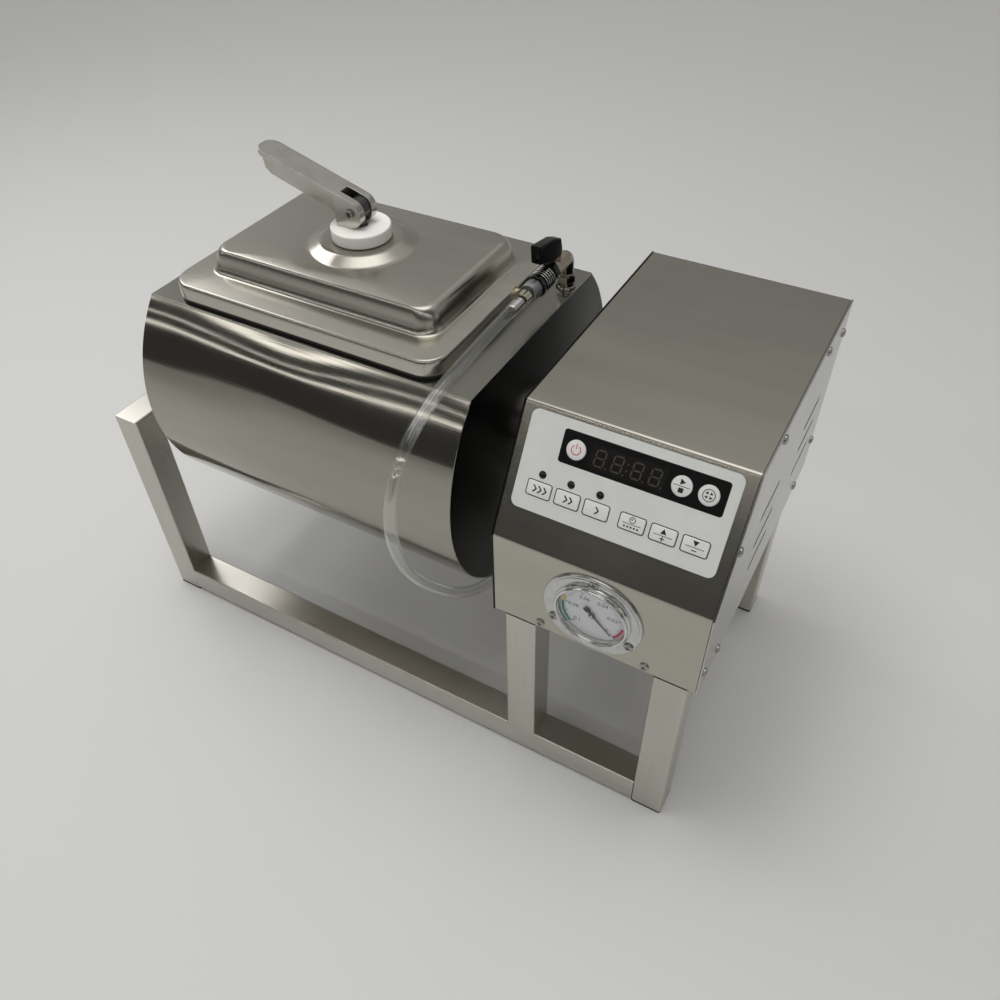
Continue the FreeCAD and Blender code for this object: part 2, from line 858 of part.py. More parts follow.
outer = lid_form("lid_outside", "0", "lid_foot", "0")
inner = lid_form("lid_inside", "lid_sheet", "lid_foot - 0.01", "lid_sheet - 0.01")
stud_hole = rod("lid_stud_hole", ("opening_x", 0, "crown_z - 5"), "stud_radius + 1", "boss_rise + 10")
outer_soft = softened("lid_outer_soft", outer, [("lid_flange_z", "lid_edge"), ("crown_z", "crown_edge")])
named(cut("lid_cut", outer_soft, [inner, stud_hole]), "lid_pan")

gasket = new_body("gasket_body")
pads = (
    ("foot", "0.5", "gasket_width", "gasket_height"),
    ("lip", "lid_sheet + 0.2", "gasket_lip_width", "gasket_height + gasket_lip"),
)
for level, inset, width, height in pads:
    sketch = new_sketch(gasket, "gasket_" + level)
    for step in ("0", width):
        rounded(
            sketch,
            0,
            0,
            f"lid_length - 2 * ({inset} + {step})",
            f"lid_width - 2 * ({inset} + {step})",
            f"lid_corner - ({inset} + {step})",
        )
    pad(gasket, sketch, height)
named(place(gasket, "opening_x", 0, "flat_z + seat_gap"), "lid_gasket")

# Clamp: washer, stud with its bar under the lid, cam lever and pin

named(
    turned(
        "washer_body",
        [
            ("stud_radius + running_gap", 0),
            ("washer_radius", 0),
            ("washer_radius", "washer_height - 1.5"),
            ("washer_radius - 1.5", "washer_height"),
            ("stud_radius + running_gap", "washer_height"),
        ],
        ("opening_x", 0, "washer_z"),
    ),
    "clamp_washer",
)

bar = new_body("bar_body")
bar_sketch = new_sketch(bar, "bar_outline")
rounded(bar_sketch, 0, 0, "bar_length", "bar_width", "bar_width / 2 - 1")
pad(bar, bar_sketch, "bar_height")
place(bar, "opening_x", 0, "bar_top - bar_height")
stud_foot = "(bar_top - bar_height - stud_nut_height)"
stud = rod("stud_rod", ("opening_x", 0, stud_foot), "stud_radius", f"washer_top - {stud_foot}")
stud_nut = hexagon("stud_nut", ("opening_x", 0, stud_foot), "3 * stud_radius", "stud_nut_height")
eye_thick = "(fork_slot - 2 * running_gap)"
eye = rod("stud_eye", ("opening_x", f"-{eye_thick} / 2", "pivot_z"), "eye_radius", eye_thick, "+Y")
# Between the washer and its eye the stud has two flats, so that it fits the lever's fork.
neck_rod = rod("stud_neck_rod", ("opening_x", 0, "washer_top - 1"), "stud_radius", "pivot_z - washer_top + 1")
flats_at = ("opening_x - stud_radius", f"-{eye_thick} / 2", "washer_top - 1")
neck_flats = box("stud_neck_flats", flats_at, ("2 * stud_radius", eye_thick, "pivot_z - washer_top + 1"))
eye_neck = common("stud_neck", [neck_rod, neck_flats])
hole_at = ("opening_x", "-lever_width", "pivot_z")
pin_hole = rod("stud_pin_hole", hole_at, "pin_radius + shaft_fit", "2 * lever_width", "+Y")
stud_forging = fuse("stud_forging", [bar, stud, stud_nut, eye, eye_neck])
named(cut("stud_cut", stud_forging, [pin_hole]), "clamp_stud")


def lever_shape():
    """The cast lever about its pivot: cam cheeks, flat handle, rib and fork slot.

    The cheeks stand on a flat when the lever is down. From there the cam's reach falls
    evenly with the turn, so its outline is an involute of a circle of radius cam_lead.
    """
    lean = math.radians(val("lever_lean"))
    up = V(math.sin(lean), 0, math.cos(lean))
    reach, lead = val("cam_reach"), val("cam_lead")
    heel, crown = val("cam_heel"), val("cam_crown")
    width, length = val("lever_width"), val("lever_length")
    thick, deep = val("lever_flange"), val("lever_web")

    def cam(turn):
        out = V(math.sin(turn), 0, -math.cos(turn))
        side = V(math.cos(turn), 0, math.sin(turn))
        return out * (reach - lead * turn) - side * lead

    last = math.radians(val("cam_sweep"))
    curve = Part.BSplineCurve()
    curve.interpolate([cam(last * i / 8) for i in range(9)])
    nose = cam(last)
    nose_turn = math.atan2(nose.z, nose.x)
    middle = (nose_turn + math.pi / 2 - lean) / 2
    top = up * crown
    handle_top = crown / math.cos(lean) + heel * math.tan(lean)
    heel_foot = V(-heel, 0, -reach)
    heel_under = V(-heel, 0, handle_top - thick)
    heel_top = V(-heel, 0, handle_top)
    outline_edges = [
        Part.LineSegment(heel_foot, cam(0)).toShape(),
        curve.toShape(),
        Part.Arc(nose, V(math.cos(middle), 0, math.sin(middle)) * crown, top).toShape(),
        Part.LineSegment(top, heel_top).toShape(),
        Part.LineSegment(heel_top, heel_under).toShape(),
        Part.LineSegment(heel_under, heel_foot).toShape(),
    ]
    cheeks = Part.Face(Part.Wire(outline_edges)).extrude(V(0, width, 0))
    cheeks.translate(V(0, -width / 2, 0))

    round_end = width * 0.42
    plan = [
        V(0, -width / 2, 0),
        V(length - round_end, -width / 2, 0),
        V(length - round_end * 0.3, -width / 2 + round_end * 0.3, 0),
        V(length, -width / 2 + round_end, 0),
        V(length, width / 2 - round_end, 0),
        V(length - round_end * 0.3, width / 2 - round_end * 0.3, 0),
        V(length - round_end, width / 2, 0),
        V(0, width / 2, 0),
    ]
    plate = Part.Face(
        Part.Wire(
            [
                Part.LineSegment(plan[0], plan[1]).toShape(),
                Part.Arc(plan[1], plan[2], plan[3]).toShape(),
                Part.LineSegment(plan[3], plan[4]).toShape(),
                Part.Arc(plan[4], plan[5], plan[6]).toShape(),
                Part.LineSegment(plan[6], plan[7]).toShape(),
                Part.LineSegment(plan[7], plan[0]).toShape(),
            ]
        )
    ).extrude(V(0, 0, thick))
    inset, fall = val("web_inset"), val("web_fall")
    rib_line = [
        V(heel * 0.6, 0, -thick),
        V(length - inset, 0, 0),
        V(length - 1.125 * inset, 0, -fall),
        V(length - 2.25 * inset, 0, thick - deep + fall),
        V(length - 4 * inset, 0, thick - deep),
        V(heel + 2 * inset, 0, thick - deep - fall / 3),
        V(heel * 0.6, 0, thick - deep - inset),
    ]
    rib = Part.Face(Part.makePolygon(rib_line + rib_line[:1])).extrude(V(0, val("web_width"), 0))
    rib.translate(V(0, -val("web_width") / 2, 0))
    handle = plate.fuse(rib)
    # The handle is drawn along +X with its top up, then swung to point left and up.
    handle.rotate(V(0, 0, 0), V(0, 0, 1), 180)
    handle.rotate(V(0, 0, 0), V(0, 1, 0), math.degrees(lean))
    handle.translate(up * (crown - thick))
    gap = val("fork_slot")
    slot = Part.makeBox(length, gap, 2 * length, V(-val("fork_depth") / 2, -gap / 2, -length))
    bore = Part.makeCylinder(
        val("pin_radius + shaft_fit"), width + 2, V(0, -width / 2 - 1, 0), V(0, 1, 0)
    )
    return cheeks.fuse(handle).cut(slot).cut(bore).removeSplitter()


lever = doc.addObject("Part::Feature", "lever_casting")
lever.Shape = lever_shape()
named(place(lever, "opening_x", 0, "pivot_z"), "cam_lever")

pin_span = "lever_width + 2 * pin_proud"
pin = rod("pin_shank", ("opening_x", f"-({pin_span}) / 2", "pivot_z"), "pin_radius", pin_span, "+Y")
socket_at = ("opening_x", f"-({pin_span}) / 2 - 0.1", "pivot_z")
pin_socket = hexagon("pin_socket", socket_at, "pin_radius", "pin_recess", "+Y")
named(cut("pin_cut", pin, [pin_socket]), "lever_pin")

# Vacuum fittings: elbow, ball valve, quick coupler and hose plug in one line over the flat

nut_z = "(flat_z + socket_height + weld_gap)"
UP_TO_FRONT = (V(1, 1, 1), 120)


def elbow_up_and_out(name, radius, past):
    """A pipe up from the socket that bends to the front; past lengthens both its ends."""
    foot_at = ("fitting_x", "fitting_rear", f"{nut_z} - {past}")
    rise = rod(f"{name}_rise", foot_at, radius, f"run_z - pipe_bend - {nut_z} + {past}")
    turn_at = ("fitting_x", "fitting_rear - pipe_bend", "run_z - pipe_bend")
    turn = quarter_bend(f"{name}_turn", turn_at, "pipe_bend", radius, UP_TO_FRONT)
    start = ("fitting_x", "fitting_rear - pipe_bend", "run_z")
    reach = f"fitting_rear - pipe_bend - valve_rear - weld_gap + {past}"
    out = rod(f"{name}_out", start, radius, reach, "-Y")
    return [rise, turn, out]


elbow_nut = hexagon("elbow_nut", ("fitting_x", "fitting_rear", nut_z), "nut_across", "nut_height")
elbow_metal = fuse("elbow_metal", elbow_up_and_out("elbow_wall", "pipe_radius", "0") + [elbow_nut])
named(cut("elbow_cut", elbow_metal, elbow_up_and_out("elbow_bore", "pipe_bore", "1")), "vacuum_elbow")

valve_at = ("fitting_x", "valve_rear", "run_z")
valve_hex = hexagon("valve_hex", valve_at, "valve_across", "valve_length", "-Y")
valve_round = rod("valve_round", valve_at, "valve_across * 0.55", "valve_length", "-Y")
valve_block = common("valve_block", [valve_hex, valve_round])
gland_rise = "valve_across / 2 + stem_rise - 1"
gland = rod("valve_gland", ("fitting_x", "stem_y", "run_z"), "stem_radius + 2", gland_rise)
stem_hole_at = ("fitting_x", "stem_y", "run_z + pipe_bore + 1")
valve_bores = [
    rod("valve_bore", ("fitting_x", "valve_rear + 1", "run_z"), "pipe_bore", "valve_length + 2", "-Y"),
    rod("valve_stem_bore", stem_hole_at, "stem_radius + shaft_fit", "2 * valve_across"),
]
named(cut("valve_cut", fuse("valve_solid", [valve_block, gland]), valve_bores), "valve_body")

stem_at = ("fitting_x", "stem_y", "run_z + pipe_bore + 1.2")
stem = rod("handle_stem", stem_at, "stem_radius", "valve_across / 2 + 6")
fin = new_body("handle_fin")
fin_side = new_sketch(fin, "handle_side", "YZ_Plane", "-handle_width / 2")
low = f"run_z + {gland_rise} + handle_lift"
outline(
    fin_side,
    [
        ("stem_y + handle_tail", low),
        ("stem_y + handle_tail + 1", f"{low} + handle_height / 3"),
        ("stem_y + 2", f"{low} + handle_height + 1"),
        ("stem_y - handle_hump", f"{low} + 1.4 * handle_height"),
        ("stem_y - handle_reach", f"{low} + handle_height + handle_hump + 1"),
        ("stem_y - handle_reach + 1.5", f"{low} + handle_hump - 0.5"),
        ("stem_y - handle_hump - 2", low),
    ],
)
pad(fin, fin_side, "handle_width")
place(fin, "fitting_x", 0, 0)
named(fuse("handle_moulding", [stem, fin]), "valve_handle")

coupler_at = ("fitting_x", "valve_front - weld_gap", "run_z")
coupler_nut = hexagon("coupler_hex", coupler_at, "coupler_nut", "coupler_nut_length", "-Y")
core_length = "valve_front - sleeve_front - 1"
coupler_core = rod("coupler_tube", coupler_at, "coupler_core", core_length, "-Y")
bore_at = ("fitting_x", "valve_front + 1", "run_z")
coupler_bore = rod("coupler_bore", bore_at, "pipe_bore + 0.5", f"{core_length} + 4", "-Y")
coupler_solid = fuse("coupler_solid", [coupler_nut, coupler_core])
named(cut("coupler_cut", coupler_solid, [coupler_bore]), "coupler_socket")

sleeve_profile = [("coupler_core + shaft_fit", 0), ("sleeve_radius - 1", 0)]
for i in range(SIZES["sleeve_grips"]):
    step = f"sleeve_length * {0.08 + 0.14 * i:.2f}"
    sleeve_profile += [
        ("sleeve_radius", step),
        ("sleeve_radius", f"{step} + 1.6"),
        ("sleeve_radius - sleeve_groove", f"{step} + 2"),
    ]
sleeve_profile += [
    ("sleeve_radius", "sleeve_length * 0.8"),
    ("sleeve_radius", "sleeve_length - 1"),
    ("sleeve_radius - 1", "sleeve_length"),
    ("coupler_core + shaft_fit", "sleeve_length"),
]
named(turned("sleeve_body", sleeve_profile, ("fitting_x", "sleeve_rear", "run_z"), "-Y"), "coupler_sleeve")

plug_profile = [
    ("barb_bore", "-plug_tail"),
    ("pipe_bore + 0.4", "-plug_tail"),
    ("pipe_bore + 0.4", "0.3"),
    ("plug_body - 0.6", "0.3"),
    ("plug_body", "1"),
    ("plug_body", "plug_length - 1"),
    ("plug_body - 1.5", "plug_length"),
    ("barb_radius - 0.8", "plug_length"),
]
for i in range(SIZES["barb_rings"]):
    step = f"plug_length + barb_length * {0.3 + 0.14 * i:.2f}"
    plug_profile += [
        ("barb_radius - 0.8", step),
        ("barb_radius", f"{step} + 0.6"),
        ("barb_radius - 0.8", f"{step} + 3.2"),
    ]
plug_profile += [("barb_bore + 0.4", "plug_length + barb_length"), ("barb_bore", "plug_length + barb_length")]
named(turned("plug_turned", plug_profile, ("fitting_x", "sleeve_front", "run_z"), "-Y"), "hose_plug")

band_y = "plug_front - 3"
band_inner = "hose_radius + 0.1"
band = rod("clamp_band", ("fitting_x", band_y, "run_z"), f"{band_inner} + clamp_band", "clamp_width", "-Y")
band_hole_at = ("fitting_x", f"{band_y} + 1", "run_z")
band_hole = rod("clamp_band_hole", band_hole_at, band_inner, "clamp_width + 2", "-Y")
ear_at = ("fitting_x - hose_radius - clamp_ear", f"{band_y} - clamp_width", "run_z - 1")
ear = box("clamp_ear", ear_at, ("clamp_ear", "clamp_width", "clamp_ear + 1"))
worm_line = ("fitting_x - hose_radius - 0.6 * clamp_ear", f"{band_y} - clamp_width / 2")
worm = rod("clamp_worm", (*worm_line, "run_z - worm_length / 3"), "worm_radius", "worm_length")
head_at = (*worm_line, "run_z + 2 * worm_length / 3 - 1")
worm_head = hexagon("clamp_worm_head", head_at, "3 * worm_radius - 0.6", "3.5")
named(cut("clamp_ring", fuse("clamp_solid", [band, ear, worm, worm_head]), [band_hole]), "hose_clamp")

# Hose elbow on the housing's left panel

elbow_x = "(housing_left - elbow_out)"
SIDE_TO_FRONT = (V(0, 0, 1), 90)


def elbow_through_panel(name, radius, past):
    """A pipe out of the housing that bends to the front; past lengthens its inner end."""
    reach = f"elbow_out + elbow_in - panel_bend + {past}"
    arm = rod(f"{name}_arm", (f"{elbow_x} + panel_bend", "elbow_y", "elbow_z"), radius, reach, "+X")
    turn_at = (f"{elbow_x} + panel_bend", "elbow_y - panel_bend", "elbow_z")
    return [arm, quarter_bend(f"{name}_turn", turn_at, "panel_bend", radius, SIDE_TO_FRONT)]


barb_root = "elbow_y - panel_bend"
collar_at = ("housing_left - weld_gap", "elbow_y", "elbow_z")
collar = hexagon("panel_elbow_nut", collar_at, "elbow_nut", "elbow_nut_height", "-X")
lock_at = ("housing_left + 2 * sheet + seam + weld_gap", "elbow_y", "elbow_z")
lock_nut = hexagon("panel_elbow_lock", lock_at, "elbow_nut", "elbow_nut_height", "+X")
elbow_start = (elbow_x, barb_root, "elbow_z")
spigot = rod("panel_elbow_spigot", elbow_start, "barb_radius - 0.2", "elbow_barb + elbow_shoulder", "-Y")
shoulder = rod("panel_elbow_shoulder", elbow_start, "elbow_radius", "elbow_shoulder", "-Y")
elbow_wall = elbow_through_panel("panel_elbow_wall", "elbow_radius", "0")
elbow_metal = fuse("panel_elbow_metal", elbow_wall + [collar, lock_nut, shoulder, spigot])
elbow_bore = elbow_through_panel("panel_elbow_bore", "barb_bore", "1")
out_length = "elbow_barb + elbow_shoulder + 1"
elbow_bore.append(rod("panel_elbow_bore_out", elbow_start, "barb_bore", out_length, "-Y"))
named(cut("panel_elbow_cut", elbow_metal, elbow_bore), "hose_elbow")

# Clear hose from the plug, in a loop in front of the drum, to the elbow; between its ends
# the chosen points X, Y, Z follow the loop that the photograph shows.
plug_end = V(val("fitting_x"), val("plug_front - hose_gap"), val("run_z"))
elbow_end = V(val(elbow_x), val("elbow_y - panel_bend - elbow_shoulder - hose_gap"), val("elbow_z"))
route = [
    plug_end,
    V(plug_end.x, -46, plug_end.z),
    V(77.6, -98, 419.5),
    V(76.4, -144, 414),
    V(76.8, -182, 400),
    V(76.2, -206, 374),
    V(77, -217, 340),
    V(77.6, -213, 304),
    V(80, -200, 269),
    V(87, -180, 238),
    V(97, -158, 213),
    V(107, -130, 202),
    V(112.6, -98, 206),
    V(elbow_end.x, -66, elbow_end.z),
    elbow_end,
]


def hose_tube(points, radius):
    """Straight runs joined by tangent arcs, swept by a round section."""
    runs = [b - a for a, b in zip(points, points[1:])]
    edges = []
    here = points[0]
    for i, corner in enumerate(points[1:-1], start=1):
        before = runs[i - 1]
        after = runs[i]
        turn = before.getAngle(after)
        back = 0.45 * min(before.Length, after.Length)
        bend = back / math.tan(turn / 2)
        start = corner - before * (back / before.Length)
        finish = corner + after * (back / after.Length)
        half = (start + finish) * 0.5
        inward = half - corner
        hub_distance = math.sqrt(bend**2 + back**2)
        inward.normalize()
        crest = corner + inward * (hub_distance - bend)
        edges.append(Part.LineSegment(here, start).toShape())
        edges.append(Part.Arc(start, crest, finish).toShape())
        here = finish
    edges.append(Part.LineSegment(here, points[-1]).toShape())
    path = Part.Wire(edges)
    section = Part.Wire([Part.Circle(points[0], runs[0], radius).toShape()])
    tube = path.makePipeShell([section], True, True)
    share = tube.Volume / (math.pi * radius**2 * path.Length)
    print(f"hose length {path.Length:.1f}, volume over section times length {share:.4f}")
    return tube, path.Length


tube, hose_length = hose_tube(route, val("hose_radius"))
past = V(0, 0.01, 0)
front_way = V(0, -1, 0)
barb_hole = Part.makeCylinder(val("hose_bore"), val("barb_length + 1"), plug_end + past, front_way)
spigot_hole = Part.makeCylinder(val("hose_bore"), val("elbow_barb + 1"), elbow_end + past, front_way)
hose = doc.addObject("Part::Feature", "hose_tube")
hose.Shape = tube.cut(barb_hole).cut(spigot_hole)
named(hose, "vacuum_hose")


# Housing: a tray bent up at the back, a bent cover and two side panels


def profile(inset):
    """Corners of the housing's side outline, set in by a distance; Y and Z as formulas."""
    return [
        (f"housing_front + {inset}", f"post_top + {inset}"),
        (f"housing_front + {inset}", f"slope_foot - {inset} * tan(slope_lean / 2)"),
        (
            f"housing_front + slope_run + {inset} * (1 - sin(slope_lean)) / cos(slope_lean)",
            f"housing_top - {inset}",
        ),
        (f"housing_rear - {inset}", f"housing_top - {inset}"),
        (f"housing_rear - {inset}", f"post_top + {inset}"),
    ]


SLOPE = FreeCAD.Rotation(V(1, 0, 0), 90 - val("slope_lean"))


def on_slope(thing):
    """Put an object's origin at the foot of the slope, its Z axis square to the slope."""
    thing.Placement = FreeCAD.Placement(V(0, 0, 0), SLOPE)
    bind(thing, "Placement.Base.x", "housing_left")
    bind(thing, "Placement.Base.y", "housing_front")
    bind(thing, "Placement.Base.z", "slope_foot")
    return thing


KEYS = [("speed_1_key", "key_first"), ("speed_2_key", "key_first + key_pitch")]
KEYS += [("speed_3_key", "key_first + 2 * key_pitch"), ("time_key", "key_fourth")]
KEYS += [("up_key", "key_fourth + key_second_pitch"), ("down_key", "key_fourth + 2 * key_second_pitch")]
BUTTONS = [
    ("power_button", "power_from_left"),
    ("start_button", "start_from_left"),
    ("vacuum_button", "vacuum_from_left"),
]
LEDS = [f"key_first + {i} * key_pitch" for i in range(3)]


def panel_holes(sketch):
    """Cut-outs for keys, buttons and lamps in a sheet parallel to the slope."""
    span = ("key_width + 2 * key_gap", "key_height + 2 * key_gap")
    for _, x in KEYS:
        rounded(sketch, x, "key_row", *span, "key_corner")
    for _, x in BUTTONS:
        ring(sketch, x, "round_row", "round_radius + key_gap")
    for x in LEDS:
        ring(sketch, x, "led_row", "led_radius + key_gap")


def slab_across(name, corners, start, length):
    """A slab with an outline in Y and Z, running along X."""
    body = new_body(name)
    side = new_sketch(body, name + "_side", "YZ_Plane")
    outline(side, corners)
    pad(body, side, length)
    return place(body, start, 0, 0)


# Cover: front, slope, top and its return flanges
skin = slab_across("cover_outer", profile("0"), "cover_left", "cover_width")
cover_hollows = [
    slab_across("cover_inner", profile("sheet"), "cover_left + sheet", "cover_width - 2 * sheet"),
    slab_across("cover_between_flanges", profile("flange"), "cover_left - 1", "cover_width + 2"),
    box(
        "cover_open_foot",
        ("cover_left - 1", "housing_front - 1", "post_top - 1"),
        ("cover_width + 2", "housing_depth + 2", "sheet + seam + 1"),
    ),
    box(
        "cover_open_back",
        ("cover_left - 1", "housing_rear - sheet - seam", "post_top - 1"),
        ("cover_width + 2", "sheet + seam + 1", "housing_top - sheet - seam - post_top + 1"),
    ),
    box(
        "cover_flange_foot",
        ("cover_left - 1", "housing_front + sheet", "post_top - 1"),
        ("cover_width + 2", "housing_depth", "flange + seam + 1"),
    ),
    box(
        "cover_flange_back",
        ("cover_left - 1", "housing_rear - flange - seam", "post_top"),
        ("cover_width + 2", "flange + 1", "housing_top - sheet - post_top"),
    ),
]
cover_windows = new_body("cover_windows")
window_plan = new_sketch(cover_windows, "cover_window_plan", lift="-4 * sheet")
panel_holes(window_plan)
rounded(
    window_plan,
    "display_left + display_width / 2",
    "display_foot + display_height / 2",
    "display_width + 2 * key_gap",
    "display_height + 2 * key_gap",
    "1",
)
pad(cover_windows, window_plan, "6 * sheet")
on_slope(cover_windows)
gauge_hole_at = ("gauge_x", "housing_front - 1", "gauge_height")
gauge_hole = rod("cover_gauge_hole", gauge_hole_at, "gauge_case + 0.5", "20", "+Y")
GAUGE_SCREWS = [
    (f"gauge_x + gauge_screws * sin({turn})", f"gauge_height + gauge_screws * cos({turn})")
    for turn in (0, 120, 240)
]
FRONT_SCREWS = [
    ("housing_left + front_screw_left", "post_top + flange_middle"),
    ("housing_left + front_screw_right", "post_top + flange_middle"),
]
front_holes = [
    rod(f"front_hole_{i}", (x, "housing_front - 1", z), "screw_radius + screw_fit", "10", "+Y")
    for i, (x, z) in enumerate(GAUGE_SCREWS + FRONT_SCREWS, start=1)
]
SIDE_SCREWS = [
    ("housing_rear - flange_middle", "housing_top - screw_top_rear"),
    ("housing_rear - screw_top_back_run", "housing_top - flange_middle"),
    ("housing_front + screw_top_front_run", "housing_top - flange_middle"),
    (
        "housing_front + 0.48 * slope_run + flange_middle * cos(slope_lean)",
        "slope_foot + 0.48 * (housing_top - slope_foot) - flange_middle * sin(slope_lean)",
    ),
    ("housing_rear - flange_middle", "post_top + screw_low_rear"),
    ("housing_front + flange_middle", "post_top + screw_low_front"),
    ("housing_front + screw_foot_run", "post_top + flange_middle"),
    ("housing_rear - screw_foot_run", "post_top + flange_middle"),
]
side_holes = [
    rod(f"side_hole_{i}", ("housing_left - 1", y, z), "screw_radius + screw_fit", "housing_width + 2", "+X")
    for i, (y, z) in enumerate(SIDE_SCREWS, start=1)
]
cover_tools = cover_hollows + [cover_windows, gauge_hole] + front_holes + side_holes
named(cut("cover_cut", skin, cover_tools), "bent_cover")

# Tray: bottom, rear wall and their flanges, bent from one sheet
elbow_hole_at = ("housing_left - 1", "elbow_y", "elbow_z")
elbow_hole = rod("panel_elbow_hole", elbow_hole_at, "elbow_radius + shaft_fit", "8", "+X")
tray_front = "housing_front + sheet + seam"
tray_depth = "(housing_depth - sheet - seam)"
tray_skin = box(
    "tray_outer",
    ("cover_left", tray_front, "post_top"),
    ("cover_width", tray_depth, "housing_top - sheet - seam - post_top"),
)
inlet_x = "housing_left + inlet_from_left"
inlet_hole_width = "(inlet_body_width + 2 * inlet_fit)"
inlet_hole_height = "(inlet_body_height + 2 * inlet_fit)"
tray_tools = [
    box(
        "tray_inner",
        ("cover_left + sheet", f"{tray_front} + sheet", "tray_top"),
        ("cover_width - 2 * sheet", f"{tray_depth} - 2 * sheet", "housing_top"),
    ),
    box(
        "tray_above_flanges",
        ("cover_left - 1", f"{tray_front} - 1", "post_top + flange"),
        ("cover_width + 2", f"{tray_depth} - flange + 1", "housing_top"),
    ),
    box(
        "tray_inlet_hole",
        (f"{inlet_x} - {inlet_hole_width} / 2", "housing_rear - 10", f"inlet_z - {inlet_hole_height} / 2"),
        (inlet_hole_width, "20", inlet_hole_height),
    ),
]
tray_tools += [elbow_hole, gauge_hole] + side_holes + front_holes[len(GAUGE_SCREWS):]
named(cut("tray_cut", tray_skin, tray_tools), "base_and_back")

# Side panels, with two groups of slots each
slot_span = ("housing_width + 2", "slot_length", "slot_width")
panel_tools = list(side_holes)
for side in ("rear", "front"):
    for level in ("high", "middle", "low"):
        slot_y = f"housing_rear - {side}_slots_inset - slot_length / 2"
        slot_z = f"axis_z + {side}_slot_{level} - slot_width / 2"
        panel_tools.append(box(f"{side}_{level}_slot", ("housing_left - 1", slot_y, slot_z), slot_span))
shaft_hole_at = ("housing_left - 1", 0, "axis_z")
shaft_hole = rod("panel_shaft_hole", shaft_hole_at, "1.4 * shaft_radius", "10", "+X")
left_skin = slab_across("left_panel_skin", profile("0"), "housing_left", "sheet")
named(cut("left_panel_cut", left_skin, panel_tools + [shaft_hole, elbow_hole]), "left_panel")
right_skin = slab_across("right_panel_skin", profile("0"), "housing_right - sheet", "sheet")
named(cut("right_panel_cut", right_skin, panel_tools), "right_panel")

# Pan-head screws of the side panels, the front and the gauge


def pan_screw(name, at, way):
    """A screw whose head sits on the surface at a point and stands out along one way."""
    profile_points = [
        (0, "-screw_length"),
        ("screw_radius - 0.3", "-screw_length"),
        ("screw_radius", "-screw_length + 0.5"),
        ("screw_radius", 0),
        ("screw_head", 0),
        ("screw_head", "screw_rise * 0.5"),
        ("screw_head * 0.72", "screw_rise * 0.9"),
        (0, "screw_rise"),
    ]
    return turned(name, profile_points, at, way)


screws = []
for i, (y, z) in enumerate(SIDE_SCREWS, start=1):
    screws.append(pan_screw(f"left_screw_{i}", ("housing_left", y, z), "-X"))
    screws.append(pan_screw(f"right_screw_{i}", ("housing_right", y, z), "+X"))
for i, (x, z) in enumerate(FRONT_SCREWS, start=1):
    screws.append(pan_screw(f"front_screw_{i}", (x, "housing_front", z), "-Y"))
for i, (x, z) in enumerate(GAUGE_SCREWS, start=1):
    screws.append(pan_screw(f"gauge_screw_{i}", (x, "housing_front - gauge_flange_sheet", z), "-Y"))
named(group("screw_set", screws), "panel_screws")

# Control panel: overlay, display, board with switches and lamps, and the keys

overlay = new_body("overlay_sheet_body")
overlay_plan = new_sketch(overlay, "overlay_plan")
rounded(
    overlay_plan,
    "overlay_left + overlay_width / 2",
    "overlay_foot + overlay_height / 2",
    "overlay_width",
    "overlay_height",
    "overlay_corner",
)
panel_holes(overlay_plan)
pad(overlay, overlay_plan, "overlay_sheet")
named(on_slope(overlay), "control_overlay")


def slope_block(name, x, y, low, width, height, length, corner="0.5"):
    """A block with round corners, about x, y on the slope, from a height upward."""
    body = new_body(name)
    plan = new_sketch(body, name + "_plan", lift=low)
    rounded(plan, x, y, width, height, corner)
    pad(body, plan, length)
    return on_slope(body)


def slope_rod(name, x, y, low, radius, length):
    body = new_body(name)
    plan = new_sketch(body, name + "_plan", lift=low)
    ring(plan, x, y, radius)
    pad(body, plan, length)
    return on_slope(body)


display_x = "display_left + display_width / 2"
display_y = "display_foot + display_height / 2"
display_low = "-running_gap - display_depth"
display_span = ("display_width", "display_height", "display_depth")
display_pieces = [slope_block("display_block", display_x, display_y, display_low, *display_span)]
pin_span = ("display_pins", "1", f"{display_low} + board_depth + 0.5")
for i, side in enumerate((-1, 1), start=1):
    pins_y = f"{display_y} + {side} * display_pin_rows / 2"
    pins_low = "-board_depth + weld_gap"
    display_pieces.append(
        slope_block(f"display_pins_{i}", display_x, pins_y, pins_low, *pin_span, "0.2")
    )
named(fuse("display_solid", display_pieces), "display_module")

switch_top = "-key_depth - switch_gap"
board_x = "overlay_left + overlay_width / 2"
board_y = "overlay_foot + overlay_height / 2"
board_span = ("overlay_width - 2 * board_margin", "overlay_height - 2 * board_margin", "board_sheet")
board_low = "-board_depth - board_sheet"
board_pieces = [slope_block("board_sheet_block", board_x, board_y, board_low, *board_span, "2")]
spots = [(name, x, "key_row") for name, x in KEYS] + [(name, x, "round_row") for name, x in BUTTONS]
seat_low = "-board_depth - 0.1"
switch_span = ("switch_side", "switch_side", f"{switch_top} + board_depth - 0.4")
for name, x, y in spots:
    board_pieces.append(slope_block(f"{name}_switch", x, y, seat_low, *switch_span))
    board_pieces.append(slope_rod(f"{name}_plunger", x, y, f"{switch_top} - 1", "plunger_radius", "1"))
lamp_rise = "board_depth + overlay_sheet - 0.1"
for i, x in enumerate(LEDS, start=1):
    board_pieces.append(slope_rod(f"lamp_{i}", x, "led_row", seat_low, "led_radius", lamp_rise))
for i, (sx, sy) in enumerate(((-1, -1), (1, -1), (-1, 1), (1, 1)), start=1):
    board_pieces.append(
        slope_rod(
            f"board_post_{i}",
            f"{board_x} + {sx} * (overlay_width / 2 - board_margin - 5)",
            f"{board_y} + {sy} * (overlay_height / 2 - board_margin - 4)",
            seat_low,
            "board_post",
            "board_depth - sheet + 0.1",
        )
    )
